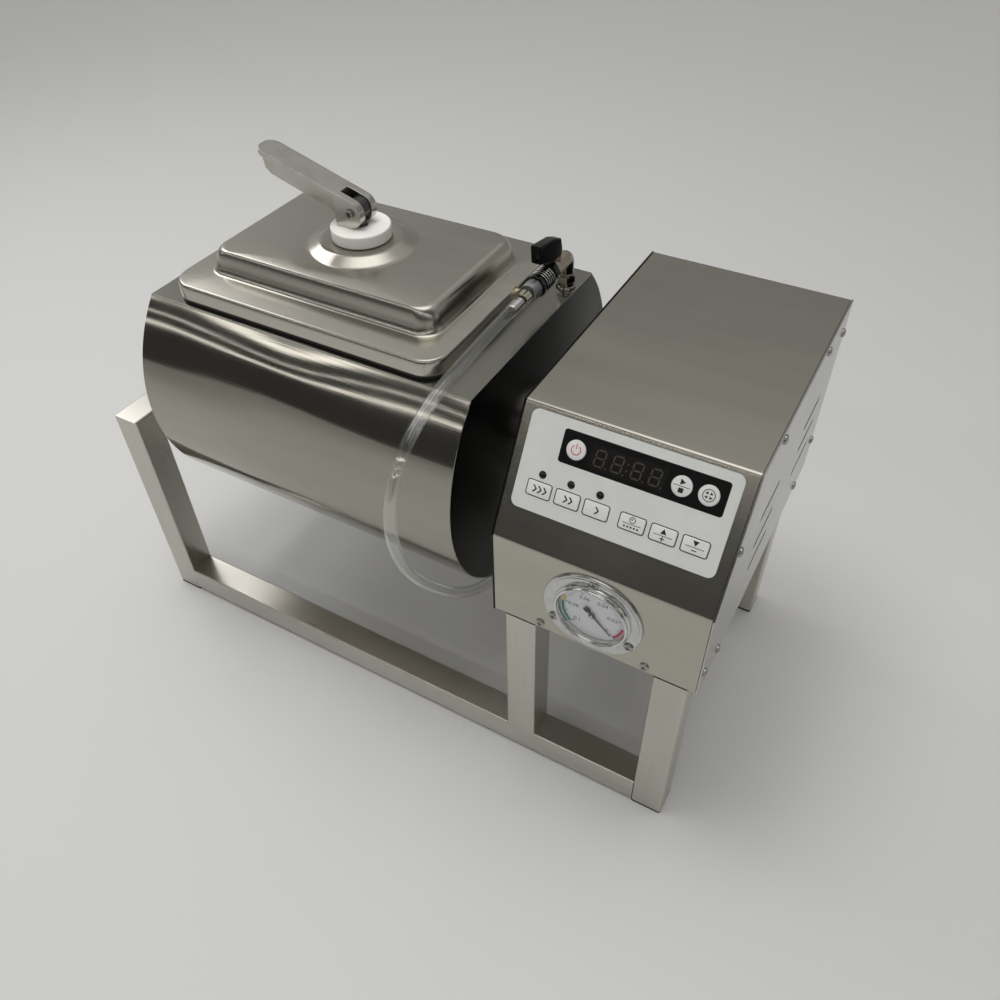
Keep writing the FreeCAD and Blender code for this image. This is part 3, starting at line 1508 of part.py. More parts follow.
named(fuse("board_solid", board_pieces), "control_board")

# The post's foot stands a little more than the key's travel above the switch.
stem_low = f"{switch_top} + key_travel + 0.1"
cap_rise = "key_depth + overlay_sheet + key_proud"
key_span = ("key_width", "key_height", cap_rise, "key_corner")
for name, x in KEYS:
    cap = slope_block(name + "_cap", x, "key_row", "-key_depth", *key_span)
    post = slope_rod(name + "_post", x, "key_row", stem_low, "key_post", "switch_gap")
    named(fuse(name + "_solid", [cap, post]), name)
for name, x in BUTTONS:
    cap = slope_rod(name + "_cap", x, "round_row", "-key_depth", "round_radius", cap_rise)
    post = slope_rod(name + "_post", x, "round_row", stem_low, "key_post", "switch_gap")
    named(fuse(name + "_solid", [cap, post]), name)

# Vacuum gauge; heights are counted outward from the housing's front

gauge_at = ("gauge_x", "housing_front", "gauge_height")
lens_seat = "gauge_ring_rise - lens_sheet - 1"
case_profile = [
    (0, "-gauge_depth - gauge_spigot_length"),
    ("gauge_spigot", "-gauge_depth - gauge_spigot_length"),
    ("gauge_spigot", "-gauge_depth"),
    ("gauge_case", "-gauge_depth"),
    ("gauge_case", 0),
    ("gauge_flange", 0),
    ("gauge_flange", "gauge_flange_sheet - 0.6"),
    ("gauge_flange - 0.6", "gauge_flange_sheet"),
    ("gauge_ring", "gauge_flange_sheet"),
    ("gauge_ring", "gauge_ring_rise - 1"),
    ("gauge_ring - 0.8", "gauge_ring_rise"),
    ("gauge_ring - gauge_wall + 0.1", "gauge_ring_rise"),
    ("gauge_ring - gauge_wall + 0.1", lens_seat),
    ("gauge_case - gauge_wall", lens_seat),
    ("gauge_case - gauge_wall", "-dial_sheet"),
    ("gauge_case - gauge_wall - 2", "-dial_sheet"),
    ("gauge_case - gauge_wall - 2", "gauge_wall - gauge_depth"),
    (0, "gauge_wall - gauge_depth"),
]
gauge_holes = [
    rod(f"gauge_flange_hole_{i}", (x, "housing_front + 1", z), "screw_radius + screw_fit", "4", "-Y")
    for i, (x, z) in enumerate(GAUGE_SCREWS, start=1)
]
named(cut("gauge_case_cut", turned("gauge_can", case_profile, gauge_at, "-Y"), gauge_holes), "gauge_case")

dial_profile = [
    (0.85, "-0.7 * gauge_depth"),
    ("gauge_case / 2", "-0.7 * gauge_depth"),
    ("gauge_case / 2", "-dial_sheet"),
    ("gauge_case - gauge_wall - 0.1", "-dial_sheet"),
    ("gauge_case - gauge_wall - 0.1", 0),
    (0.85, 0),
]
named(turned("dial_and_movement", dial_profile, gauge_at, "-Y"), "gauge_dial")

spindle_foot = "-0.4 * gauge_depth"
hub_line = [(0, spindle_foot), (0.8, spindle_foot), (0.8, "0.4"), (3.2, "0.4"), (2.8, "1.9"), (0, "1.9")]
needle_hub = turned("needle_hub", hub_line, gauge_at, "-Y")
blade = new_body("needle_blade")
blade_plan = new_sketch(blade, "needle_plan", lift="0.9")
outline(
    blade_plan,
    [
        (1.5, "-needle_tail * 0.3"),
        (0.35, "needle_reach"),
        (-0.35, "needle_reach"),
        (-1.5, "-needle_tail * 0.3"),
        (-1.8, "-needle_tail"),
        (1.8, "-needle_tail"),
    ],
)
pad(blade, blade_plan, "needle_sheet")
at_rest = FreeCAD.Rotation(V(0, -1, 0), -135)
blade.Placement = FreeCAD.Placement(V(0, 0, 0), at_rest.multiply(FreeCAD.Rotation(V(1, 0, 0), 90)))
for axis, text in zip("xyz", gauge_at):
    bind(blade, f"Placement.Base.{axis}", text)
named(fuse("needle_solid", [needle_hub, blade]), "gauge_needle")

lens_radius = "gauge_ring - gauge_wall"
dome = f"(({lens_radius})^2 + lens_bulge^2) / (2 * lens_bulge)"
lens_at = ("gauge_x", f"housing_front - ({lens_seat})", "gauge_height")
lens_disc = rod("lens_disc", lens_at, lens_radius, "lens_sheet + lens_bulge + 1", "-Y")
domes = []
for i, low in enumerate(("lens_sheet", "0")):
    ball = doc.addObject("Part::Sphere", f"lens_dome_{i}")
    bind(ball, "Radius", dome)
    ball_y = f"housing_front - ({lens_seat}) - {low} - lens_bulge + {dome}"
    place(ball, "gauge_x", ball_y, "gauge_height", "-Y")
    domes.append(ball)
named(cut("lens_cut", common("lens_solid", [lens_disc, domes[0]]), [domes[1]]), "gauge_lens")

# Drive, pump and mains inlet inside the housing

half_box = "gearbox_side / 2"
gearbox_at = ("gearbox_x", f"-{half_box}", f"axis_z - {half_box}")
gearbox = box("gearbox_block", gearbox_at, ("gearbox_length", "gearbox_side", "gearbox_side"))
motor_at = ("gearbox_x + gearbox_length - 1", 0, "axis_z")
motor = rod("motor_can", motor_at, "motor_radius", "motor_length + 1", "+X")
leg_span = ("gearbox_length", "motor_foot", f"axis_z - {half_box} - tray_top + 1")
motor_legs = [
    box(f"motor_leg_{i}", ("gearbox_x", y, "tray_top"), leg_span)
    for i, y in enumerate((f"-{half_box}", f"{half_box} - motor_foot"), start=1)
]
drive_bore_at = ("gearbox_x - 1", 0, "axis_z")
drive_bore = rod("drive_bore", drive_bore_at, "shaft_radius + shaft_fit", "shaft_in_gearbox + 1.2", "+X")
named(cut("drive_cut", fuse("drive_solid", [gearbox, motor] + motor_legs), [drive_bore]), "gear_motor")

pump_x = "housing_right - pump_from_right - pump_length"
pump_z = "tray_top + pump_foot + pump_radius"
pump_can = rod("pump_can", (pump_x, "pump_y", pump_z), "pump_radius", "pump_length", "+X")
pump_base = box(
    "pump_base",
    (f"{pump_x} + pump_base_inset", "pump_y - 0.8 * pump_radius", "tray_top"),
    ("pump_length - 2 * pump_base_inset", "1.6 * pump_radius", "pump_foot + 0.45 * pump_radius"),
)
head_at = (f"{pump_x} - pump_head", "pump_y", pump_z)
pump_head = rod("pump_head_can", head_at, "0.7 * pump_radius", "pump_head + 1", "+X")
port_at = (f"{pump_x} - pump_head / 2", "pump_y", pump_z)
pump_port = rod("pump_port_pipe", port_at, "pump_port", "0.7 * pump_radius + pump_port_rise")
named(fuse("pump_solid", [pump_can, pump_base, pump_head, pump_port]), "vacuum_pump")

inlet_flange = box(
    "inlet_flange_plate",
    (f"{inlet_x} - inlet_width / 2", "housing_rear", "inlet_z - inlet_height / 2"),
    ("inlet_width", "inlet_flange", "inlet_height"),
)
inlet_back = "housing_rear - inlet_depth + inlet_flange"
inlet_left = f"{inlet_x} - inlet_body_width / 2"
inlet_foot = "inlet_z - inlet_body_height / 2"
inlet_body = box(
    "inlet_body",
    (inlet_left, inlet_back, inlet_foot),
    ("inlet_body_width", "inlet_depth", "inlet_body_height"),
)
inlet_recess = box(
    "inlet_recess",
    (f"{inlet_left} + inlet_wall", f"{inlet_back} + inlet_floor", f"{inlet_foot} + inlet_wall"),
    ("inlet_body_width - 2 * inlet_wall", "inlet_depth", "inlet_body_height - 2 * inlet_wall"),
)
inlet_shell = cut("inlet_shell", fuse("inlet_solid", [inlet_flange, inlet_body]), [inlet_recess])
blades = []
for i, (side, rise) in enumerate(((-1, -1.5), (0, 2), (1, -1.5)), start=1):
    blade_at = (
        f"{inlet_x} + {side} * blade_spacing - blade_width / 2",
        f"{inlet_back} + inlet_floor - 1.5",
        f"inlet_z + {rise} - blade_height / 2",
    )
    blades.append(box(f"inlet_blade_{i}", blade_at, ("blade_width", "blade_length", "blade_height")))
named(fuse("inlet_whole", [inlet_shell] + blades), "mains_inlet")

# Check every object, then write each sub-part to its own file

doc.recompute()
for thing in doc.Objects:
    if "Invalid" in thing.State or "Error" in thing.State:
        raise ValueError(f"{thing.Label} failed: {thing.State}")
os.makedirs("parts", exist_ok=True)
for part in parts:
    if part.Shape.isNull() or not part.Shape.isValid():
        raise ValueError(f"{part.Label} has no valid shape")
    part.Shape.exportStep(f"parts/{part.Label}.step")
print(f"{len(parts)} sub-parts written")
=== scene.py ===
import json
import math

import bmesh
import bpy
from mathutils import Matrix, Vector

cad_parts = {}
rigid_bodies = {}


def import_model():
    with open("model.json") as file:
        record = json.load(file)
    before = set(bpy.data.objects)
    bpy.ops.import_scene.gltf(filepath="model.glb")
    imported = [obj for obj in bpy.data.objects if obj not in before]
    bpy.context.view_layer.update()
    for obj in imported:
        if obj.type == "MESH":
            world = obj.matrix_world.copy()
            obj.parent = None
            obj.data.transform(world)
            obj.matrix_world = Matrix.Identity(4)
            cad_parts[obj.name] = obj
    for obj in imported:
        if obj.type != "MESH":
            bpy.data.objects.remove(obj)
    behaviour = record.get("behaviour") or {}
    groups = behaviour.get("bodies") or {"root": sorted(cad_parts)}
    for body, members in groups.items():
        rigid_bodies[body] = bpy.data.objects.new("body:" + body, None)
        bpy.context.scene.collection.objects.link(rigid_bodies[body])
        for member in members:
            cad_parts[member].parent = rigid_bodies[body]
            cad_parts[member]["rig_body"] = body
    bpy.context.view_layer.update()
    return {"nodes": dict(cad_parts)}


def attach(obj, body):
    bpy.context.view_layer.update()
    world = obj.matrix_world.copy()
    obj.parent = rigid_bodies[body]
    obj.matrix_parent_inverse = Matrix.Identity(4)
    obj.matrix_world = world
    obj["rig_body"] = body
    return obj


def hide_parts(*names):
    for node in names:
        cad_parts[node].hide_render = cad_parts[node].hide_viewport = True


# Vacuum marinator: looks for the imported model.
# Metres. X runs along the drum towards the housing, Y to the rear, Z up.

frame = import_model()
nodes = frame["nodes"]
print("frame loaded:", len(nodes), "nodes")

# Camera, from the photograph's perspective

camera = {
    "place": (0.3760, -0.5644, 0.8044),
    "yaw": 0.5286,
    "pitch": 0.7703,
    "roll": -0.0248,
    "lens": 31.30,
    "sensor": 36,
}


def addCamera():
    yaw, pitch, roll = camera["yaw"], camera["pitch"], camera["roll"]
    ahead = Vector((-math.sin(yaw) * math.cos(pitch), math.cos(yaw) * math.cos(pitch), -math.sin(pitch)))
    level = Vector((math.cos(yaw), math.sin(yaw), 0))
    rise = level.cross(ahead)
    side = level * math.cos(roll) + rise * math.sin(roll)
    rise = rise * math.cos(roll) - level * math.sin(roll)
    eye = bpy.data.objects.new("photoCamera", bpy.data.cameras.new("photoCamera"))
    bpy.context.scene.collection.objects.link(eye)
    turn = Matrix((side, rise, -ahead)).transposed().to_4x4()
    eye.matrix_world = Matrix.Translation(camera["place"]) @ turn
    eye.data.lens = camera["lens"]
    eye.data.sensor_width = camera["sensor"]
    eye.data.clip_start = 0.02
    bpy.context.scene.camera = eye


addCamera()
bpy.context.scene.view_settings.view_transform = "Standard"

# Shader maths


class Wire:  # a shader socket that takes part in sums
    def __init__(self, finish, socket):
        self.finish = finish
        self.socket = socket

    def maths(self, how, *values):
        return self.finish.node("Math", {"operation": how}, dict(enumerate(values)))

    def __add__(self, other):
        return self.maths("ADD", self, other)

    def __radd__(self, other):
        return self.maths("ADD", other, self)

    def __sub__(self, other):
        return self.maths("SUBTRACT", self, other)

    def __rsub__(self, other):
        return self.maths("SUBTRACT", other, self)

    def __mul__(self, other):
        return self.maths("MULTIPLY", self, other)

    def __rmul__(self, other):
        return self.maths("MULTIPLY", other, self)

    def __truediv__(self, other):
        return self.maths("DIVIDE", self, other)

    def __rtruediv__(self, other):
        return self.maths("DIVIDE", other, self)

    def __pow__(self, other):
        return self.maths("POWER", self, other)


class Finish:  # a material, or the world, and the nodes that make it
    def __init__(self, name, world=None):
        self.material = world or bpy.data.materials.new(name)
        self.material.use_nodes = True
        self.tree = self.material.node_tree
        self.tree.nodes.clear()
        self.out = self.tree.nodes.new("ShaderNodeOutputWorld" if world else "ShaderNodeOutputMaterial")
        self.places = None

    def plug(self, socket, value):
        if isinstance(value, Wire):
            self.tree.links.new(value.socket, socket)
        elif isinstance(value, (tuple, list)) and len(value) == 3 and socket.type == "RGBA":
            socket.default_value = (*value, 1)
        else:
            socket.default_value = value

    def node(self, kind, settings=None, sockets=None, give=0):
        made = self.tree.nodes.new("ShaderNode" + kind)
        for name, value in (settings or {}).items():
            setattr(made, name, value)
        for name, value in (sockets or {}).items():
            self.plug(made.inputs[name], value)
        return Wire(self, made.outputs[give])

    def spot(self, stretch=(1, 1, 1)):
        # the surface point at rest, in metres, stretched along the axes
        if self.places is None:
            self.places = self.node("TexCoord", give="Object")
        return self.node("VectorMath", {"operation": "MULTIPLY"}, {0: self.places, 1: stretch})

    def grain(self, scale, detail=2.0, stretch=(1, 1, 1), rough=0.5):
        settings = {"noise_dimensions": "3D"}
        sockets = {"Vector": self.spot(stretch), "Scale": scale, "Detail": detail, "Roughness": rough}
        return self.node("TexNoise", settings, sockets, "Fac")

    def window(self, value, low, high):
        # 0 below low, 1 above high
        return self.node("MapRange", {"clamp": True}, {"Value": value, "From Min": low, "From Max": high})

    def mix(self, mask, first, second):
        sockets = {"Factor": mask, 6: first, 7: second}
        return self.node("Mix", {"data_type": "RGBA"}, sockets, 2)

    def bump(self, height, depth, under=None):
        sockets = {"Height": height, "Distance": depth, "Strength": 1.0}
        if under is not None:
            sockets["Normal"] = under
        return self.node("Bump", {}, sockets)

    def surface(self, **values):
        names = {
            "color": "Base Color",
            "metal": "Metallic",
            "rough": "Roughness",
            "shine": "Specular IOR Level",
            "normal": "Normal",
            "alpha": "Alpha",
        }
        sockets = {names[name]: value for name, value in values.items()}
        shade = self.node("BsdfPrincipled", {}, sockets)
        self.tree.links.new(shade.socket, self.out.inputs["Surface"])
        return self.material


# Finishes

steel = {
    # name: colour, darker colour in patches, roughness, strokes' direction, stroke depth
    **{"frame" + way.upper(): ((0.62, 0.595, 0.545), (0.53, 0.51, 0.465), 0.30, way, 1.0) for way in "xyz"},
    "drum": ((0.40, 0.38, 0.33), (0.35, 0.335, 0.29), 0.10, "x", 0.35),
    "deck": ((0.36, 0.355, 0.315), (0.32, 0.315, 0.28), 0.22, "y", 0.12),
    "lid": ((0.55, 0.53, 0.47), (0.49, 0.47, 0.42), 0.22, "x", 0.10),
    "endPlate": ((0.44, 0.43, 0.39), (0.38, 0.37, 0.34), 0.30, "y", 0.7),
    # shade: near-black steel that paints the shade of the dark gap between drum and housing onto the right end plate
    # and the housing's left panel
    "shade": ((0.030, 0.029, 0.026), (0.020, 0.020, 0.018), 0.34, "y", 0.5),
    "inner": ((0.50, 0.49, 0.46), (0.43, 0.42, 0.39), 0.42, "x", 0.6),
    "housing": ((0.50, 0.48, 0.42), (0.45, 0.43, 0.375), 0.20, "x", 0.5),
    "panel": ((0.52, 0.515, 0.49), (0.47, 0.465, 0.445), 0.22, "y", 0.5),
}
# height of the slow waves that rolling and pressing leave
waves = {"drum": 0.0036, "deck": 0.0004, "lid": 0.0004, "housing": 0.0004, "panel": 0.0003}
waveWays = {"x": (6, 17, 17), "y": (14, 7, 14), "z": (14, 14, 7)}
strokeWays = {"x": (12, 900, 900), "y": (900, 12, 900), "z": (900, 900, 12)}
patchWays = {"x": (4, 22, 22), "y": (22, 4, 22), "z": (22, 22, 4)}


def brushedSteel(name):
    color, dark, rough, way, depth = steel[name]
    made = Finish(name + "Steel")
    strokes = made.grain(1.0, 3.0, strokeWays[way], 0.6)
    patches = made.grain(1.0, 2.0, patchWays[way])
    smears = made.grain(9.0, 3.0)
    tint = made.mix(made.window(patches, 0.35, 0.7), dark, color)
    tint = made.mix(made.window(strokes, 0.3, 0.75) * 0.35, tint, tuple(0.8 * c for c in color))
    shine = rough + (strokes - 0.5) * 0.10 + (smears - 0.5) * 0.10
    normal = None
    if name in waves:
        normal = made.bump(made.grain(1.0, 0.0, waveWays[way]), waves[name])
    normal = made.bump(strokes, 0.00003 * depth, normal)
    return made.surface(color=tint, metal=1.0, rough=shine, normal=normal)


def castSteel(name, color, rough, pit=0.00012, patchy=0.16):
    made = Finish(name)
    pits = made.grain(900.0, 4.0, rough=0.65)
    smears = made.grain(60.0, 3.0)
    tint = made.mix(made.window(smears, 0.3, 0.7), tuple(0.82 * c for c in color), color)
    shine = rough + (smears - 0.5) * patchy
    return made.surface(color=tint, metal=1.0, rough=shine, normal=made.bump(pits, pit))


def brightMetal(name, color, rough):
    made = Finish(name)
    smears = made.grain(120.0, 3.0)
    marks = made.grain(1.0, 2.0, (700, 700, 90))
    tint = made.mix(made.window(smears, 0.35, 0.7), tuple(0.86 * c for c in color), color)
    shine = rough + (smears - 0.5) * 0.08
    return made.surface(color=tint, metal=1.0, rough=shine, normal=made.bump(marks, 0.000015))


def plastic(name, color, rough, texture=0.00003, scale=1400.0, shine=0.5):
    made = Finish(name)
    dots = made.grain(scale, 3.0, rough=0.6)
    dust = made.grain(45.0, 4.0)
    tint = made.mix(made.window(dust, 0.45, 0.8) * 0.5, color, tuple(min(1, c * 1.12 + 0.001) for c in color))
    spread = rough + (dust - 0.5) * 0.12
    return made.surface(color=tint, rough=spread, shine=shine, normal=made.bump(dots, texture))


def printInk(name, color, rough=0.45):
    made = Finish(name)
    dots = made.grain(2500.0, 2.0)
    tint = made.mix(dots * 0.3, color, tuple(0.8 * c for c in color))
    return made.surface(color=tint, rough=rough + (dots - 0.5) * 0.1)


def clearPlastic(name, tint, rough, body, rim):
    # seen through; body is how much shows face on, rim how much shows along the edges
    made = Finish(name)
    haze = made.grain(30.0, 3.0)
    ripple = made.grain(1.0, 2.0, (240, 90, 90))
    color = made.mix(made.window(haze, 0.4, 0.75), tint, tuple(0.93 * c for c in tint))
    slant = made.node("LayerWeight", sockets={"Blend": 0.5}, give="Facing")
    cover = body + made.window(slant, 0.50, 0.92) * (rim - body)
    spread = rough + made.window(haze, 0.45, 0.8) * 0.05
    return made.surface(color=color, metal=1.0, rough=spread, alpha=cover, normal=made.bump(ripple, 0.00004))


finishes = {
    **{name: brushedSteel(name) for name in steel},
    "cast": castSteel("castSteel", (0.58, 0.565, 0.52), 0.24, 0.00003, 0.05),
    "casting": castSteel("bearingCasting", (0.36, 0.37, 0.37), 0.45, 0.0002),
    "bright": brightMetal("brightSteel", (0.40, 0.39, 0.365), 0.17),
    "chrome": brightMetal("chromePlate", (0.70, 0.70, 0.68), 0.10),
    "nickel": brightMetal("nickelBrass", (0.44, 0.42, 0.37), 0.24),
    "valve": castSteel("valveBrass", (0.55, 0.46, 0.36), 0.30, 0.00006),
    "sleeve": castSteel("sleeveMetal", (0.07, 0.07, 0.068), 0.18, 0.00001),
    "plug": castSteel("plugMetal", (0.30, 0.30, 0.31), 0.42, 0.00003),
    "barb": brightMetal("barbMetal", (0.62, 0.62, 0.60), 0.14),
    "band": brightMetal("clampSteel", (0.72, 0.67, 0.54), 0.18),
    "washer": plastic("washerNylon", (0.78, 0.77, 0.72), 0.42),
    "rubber": plastic("blackRubber", (0.016, 0.016, 0.016), 0.62, 0.00008, 900.0),
    "black": plastic("blackMoulding", (0.001, 0.001, 0.0011), 0.10, 0.00001, 1100.0, 0.16),
    # dark steel for the clamp stud and the needle hub, and painted shade in the barb's bore and at the floor of the
    # screw recesses
    "eye": castSteel("darkSteelAndShade", (0.12, 0.12, 0.115), 0.42),
    "hose": clearPlastic("clearHose", (0.97, 0.98, 0.95), 0.03, 0.07, 0.90),
    "film": plastic("panelFilm", (0.60, 0.61, 0.58), 0.42, 0.00001, 1800.0, 0.6),
    "key": plastic("keyFilm", (0.66, 0.66, 0.64), 0.34, 0.00001, 1800.0, 0.8),
    "window": plastic("displayWindow", (0.002, 0.002, 0.0022), 0.30, 0.000004, 500.0, 0.25),
    "glassDark": plastic("displayGlass", (0.007, 0.006, 0.005), 0.20, 0.000004, 500.0, 0.35),
    "segment": printInk("dimSegments", (0.050, 0.044, 0.036), 0.3),
    "flange": brightMetal("flangeChrome", (0.62, 0.63, 0.62), 0.16),
    "lamp": plastic("lampLens", (0.006, 0.005, 0.005), 0.12, 0.000004, 500.0, 0.5),
    "ink": printInk("blackInk", (0.012, 0.012, 0.012)),
    "redInk": printInk("redInk", (0.45, 0.03, 0.03)),
    "dial": printInk("dialWhite", (0.72, 0.73, 0.76)),
    "green": printInk("dialGreen", (0.015, 0.22, 0.15)),
    "yellow": printInk("dialYellow", (0.66, 0.52, 0.10)),
    "red": printInk("dialRed", (0.55, 0.03, 0.05)),
    "lens": clearPlastic("gaugeLens", (0.90, 0.91, 0.91), 0.02, 0.03, 0.40),
    "board": plastic("circuitBoard", (0.02, 0.13, 0.06), 0.4),
    "motor": plastic("motorPaint", (0.05, 0.055, 0.06), 0.42, 0.0001, 700.0),
    "pump": plastic("pumpPaint", (0.10, 0.10, 0.11), 0.4, 0.0001, 700.0),
}
print("finishes made:", len(finishes))

# Mesh tools


def meshOf(name, made, joined=0.0):
    # made is (points, faces); points closer than joined become one
    mesh = bpy.data.meshes.new(name)
    mesh.from_pydata([tuple(p) for p in made[0]], [], made[1])
    work = bmesh.new()
    work.from_mesh(mesh)
    if joined:
        bmesh.ops.remove_doubles(work, verts=work.verts, dist=joined)
    bmesh.ops.recalc_face_normals(work, faces=work.faces)
    work.to_mesh(mesh)
    work.free()
    return mesh


def newPiece(name, made, body, finish, replaces=(), sharp=35, even=False):
    # sharp is the angle in degrees above which an edge stays crisp
    piece = bpy.data.objects.new(name, meshOf(name, made, 1e-7))
    return dress(piece, body, finish, replaces, sharp, even)


def dress(piece, body, finish, replaces=(), sharp=35, even=True):
    mesh = piece.data
    mesh.shade_smooth()
    mesh.set_sharp_from_angle(angle=math.radians(sharp))
    mesh.materials.clear()
    mesh.materials.append(finishes[finish])
    bpy.context.scene.collection.objects.link(piece)
    if even:
        weights = piece.modifiers.new("evenShading", "WEIGHTED_NORMAL")
        weights.keep_sharp = True
    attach(piece, body)
    if replaces:
        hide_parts(*replaces)
    return piece


def merged(*parts):
    points, faces = [], []
    for somePoints, someFaces in parts:
        shift = len(points)
        points += list(somePoints)
        faces += [tuple(i + shift for i in face) for face in someFaces]
    return points, faces


def moved(made, matrix):
    return [matrix @ Vector(p) for p in made[0]], made[1]


def rings(loops, closed=False, ends=True):
    # quads between loops of equal length; closed joins the last loop to the first
    count = len(loops[0])
    points = [Vector(p) for loop in loops for p in loop]
    faces = []
    pairs = [(k, k + 1) for k in range(len(loops) - 1)]
    if closed:
        pairs.append((len(loops) - 1, 0))
    for a, b in pairs:
        for i in range(count):
            j = (i + 1) % count
            faces.append((a * count + i, a * count + j, b * count + j, b * count + i))
    if ends and not closed:
        faces.append(tuple(range(count - 1, -1, -1)))
        faces.append(tuple((len(loops) - 1) * count + i for i in range(count)))
    return points, faces


def eased(stations, softness, steps=5):
    # a run of stations whose corners are rounded; softness gives each corner's reach
    run = [Vector(s) for s in stations]
    out = [run[0]]
    for k in range(1, len(run) - 1):
        reach = softness[k]
        if not reach:
            out.append(run[k])
            continue
        before, here, after = run[k - 1], run[k], run[k + 1]
        start = here + (before - here) * min(0.62, reach / (before - here).length)
        stop = here + (after - here) * min(0.62, reach / (after - here).length)
        for i in range(steps + 1):
            t = i / steps
            out.append(start * (1 - t) ** 2 + here * 2 * t * (1 - t) + stop * t * t)
    out.append(run[-1])
    return out


def lathe(profile, steps=64, soft=0.0):
    # a closed profile of (radius, height) points turned about Z; soft rounds its corners.
    # A profile that starts and ends at radius 0 makes a solid piece.
    solid = profile[0][0] == 0
    if soft:
        run = profile if solid else [profile[-1], *profile, profile[0]]
        profile = eased(run, [soft] * len(run), 3)
        profile = profile if solid else profile[1:-1]
    loops = []
    for radius, height in profile[1:-1] if solid else profile:
        loops.append([(x, y, height) for x, y in circleLoop(radius, 0, 0, steps)])
    if not solid:
        return rings(loops, closed=True)
    points, faces = rings(loops, ends=False)
    low, high = len(points), len(points) + 1
    points += [Vector((0, 0, profile[0][1])), Vector((0, 0, profile[-1][1]))]
    last = (len(loops) - 1) * steps
    for i in range(steps):
        j = (i + 1) % steps
        faces += [(low, j, i), (high, last + i, last + j)]
    return points, faces


def toward(place, way, spin=0.0):
    # a matrix whose own Z axis points one way
    turn = Vector(way).to_track_quat("Z", "Y").to_matrix().to_4x4()
    return Matrix.Translation(place) @ turn @ Matrix.Rotation(spin, 4, "Z")


def roundedLoop(width, height, radius, corner=8, x=0.0, y=0.0):
    # points round a rectangle with round corners
    radius = min(radius, width / 2 - 1e-6, height / 2 - 1e-6)
    halfX, halfY = width / 2 - radius, height / 2 - radius
    loop = []
    for turn, cx, cy in ((0, halfX, halfY), (90, -halfX, halfY), (180, -halfX, -halfY), (270, halfX, -halfY)):
        for i in range(corner + 1):
            angle = math.radians(turn + 90 * i / corner)
            loop.append((x + cx + radius * math.cos(angle), y + cy + radius * math.sin(angle)))
    return loop


def circleLoop(radius, x=0.0, y=0.0, steps=40):
    turns = [2 * math.pi * i / steps for i in range(steps)]
    return [(x + radius * math.cos(a), y + radius * math.sin(a)) for a in turns]


def arcBand(inner, outer, start, stop, steps=24):
    # a band of a ring between two angles in degrees, as one loop
    turns = [math.radians(start + (stop - start) * i / steps) for i in range(steps + 1)]
    loop = [(outer * math.cos(a), outer * math.sin(a)) for a in turns]
    return loop + [(inner * math.cos(a), inner * math.sin(a)) for a in reversed(turns)]


def barLoop(start, stop, width):
    # a thin bar from one point to another
    a, b = Vector(start), Vector(stop)
    side = (b - a).normalized().orthogonal() * width / 2
    return [tuple(a + side), tuple(b + side), tuple(b - side), tuple(a - side)]


def cutSheet(loops, low, high):
    # a flat sheet from loops of (x, y) points; a loop inside another is a hole
    curve = bpy.data.curves.new("sheetPlan", "CURVE")
    curve.dimensions = "2D"
    curve.fill_mode = "BOTH"
    curve.extrude = (high - low) / 2
    for loop in loops:
        spline = curve.splines.new("POLY")
        spline.points.add(len(loop) - 1)
        for point, (x, y) in zip(spline.points, loop):
            point.co = (x, y, 0, 1)
        spline.use_cyclic_u = True
    return solidOf(curve, (low + high) / 2)


def solidOf(curve, lift):
    carrier = bpy.data.objects.new("sheetPlan", curve)
    bpy.context.scene.collection.objects.link(carrier)
    mesh = bpy.data.meshes.new_from_object(carrier.evaluated_get(bpy.context.evaluated_depsgraph_get()))
    points = [v.co + Vector((0, 0, lift)) for v in mesh.vertices]
    faces = [tuple(face.vertices) for face in mesh.polygons]
    bpy.data.objects.remove(carrier)
    return points, faces


def figures(text, size, low, high, x=0.0, y=0.0):
    # plain figures as a thin solid, centred on x, y
    curve = bpy.data.curves.new("figures", "FONT")
    curve.body = text
    curve.size = size
    curve.align_x = "CENTER"
    curve.align_y = "CENTER"
    curve.extrude = (high - low) / 2
    points, faces = solidOf(curve, (low + high) / 2)
    return [p + Vector((x, y, 0)) for p in points], faces


def plate(loop, low, high, edge=0.0, steps=3):
    # a flat piece with a rounded upper edge from a loop of (x, y) points
    levels = [(0, low)]
    if edge:
        for i in range(steps + 1):
            angle = math.pi / 2 * i / steps
            levels.append((edge * (1 - math.cos(angle)), high - edge * (1 - math.sin(angle))))
    else:
        levels.append((0, high))
    xs, ys = [p[0] for p in loop], [p[1] for p in loop]
    centre = Vector(((max(xs) + min(xs)) / 2, (max(ys) + min(ys)) / 2))
    half = Vector(((max(xs) - min(xs)) / 2, (max(ys) - min(ys)) / 2))
    loops = []
    for inset, height in levels:
        sx, sy = 1 - inset / half.x, 1 - inset / half.y
        loops.append([(centre.x + (x - centre.x) * sx, centre.y + (y - centre.y) * sy, height) for x, y in loop])
    return rings(loops)


def carved(made, tool):
    # one solid with the form of another cut away
    things = []
    for part in (made, tool):
        things.append(bpy.data.objects.new("carving", meshOf("carving", part)))
        bpy.context.scene.collection.objects.link(things[-1])
    cutting = things[0].modifiers.new("cut", "BOOLEAN")
    cutting.object = things[1]
    cutting.operation = "DIFFERENCE"
    cutting.solver = "EXACT"
    mesh = bpy.data.meshes.new_from_object(things[0].evaluated_get(bpy.context.evaluated_depsgraph_get()))
    for thing in things:
        bpy.data.objects.remove(thing)
    return [v.co.copy() for v in mesh.vertices], [tuple(face.vertices) for face in mesh.polygons]


def crossLoop(reach, half):
    # round a plus sign, one arm after another
    arm = [(reach, -half), (reach, half), (half, half)]
    loop = []
    for _ in range(4):
        loop += arm
        arm = [(-y, x) for x, y in arm]
    return loop


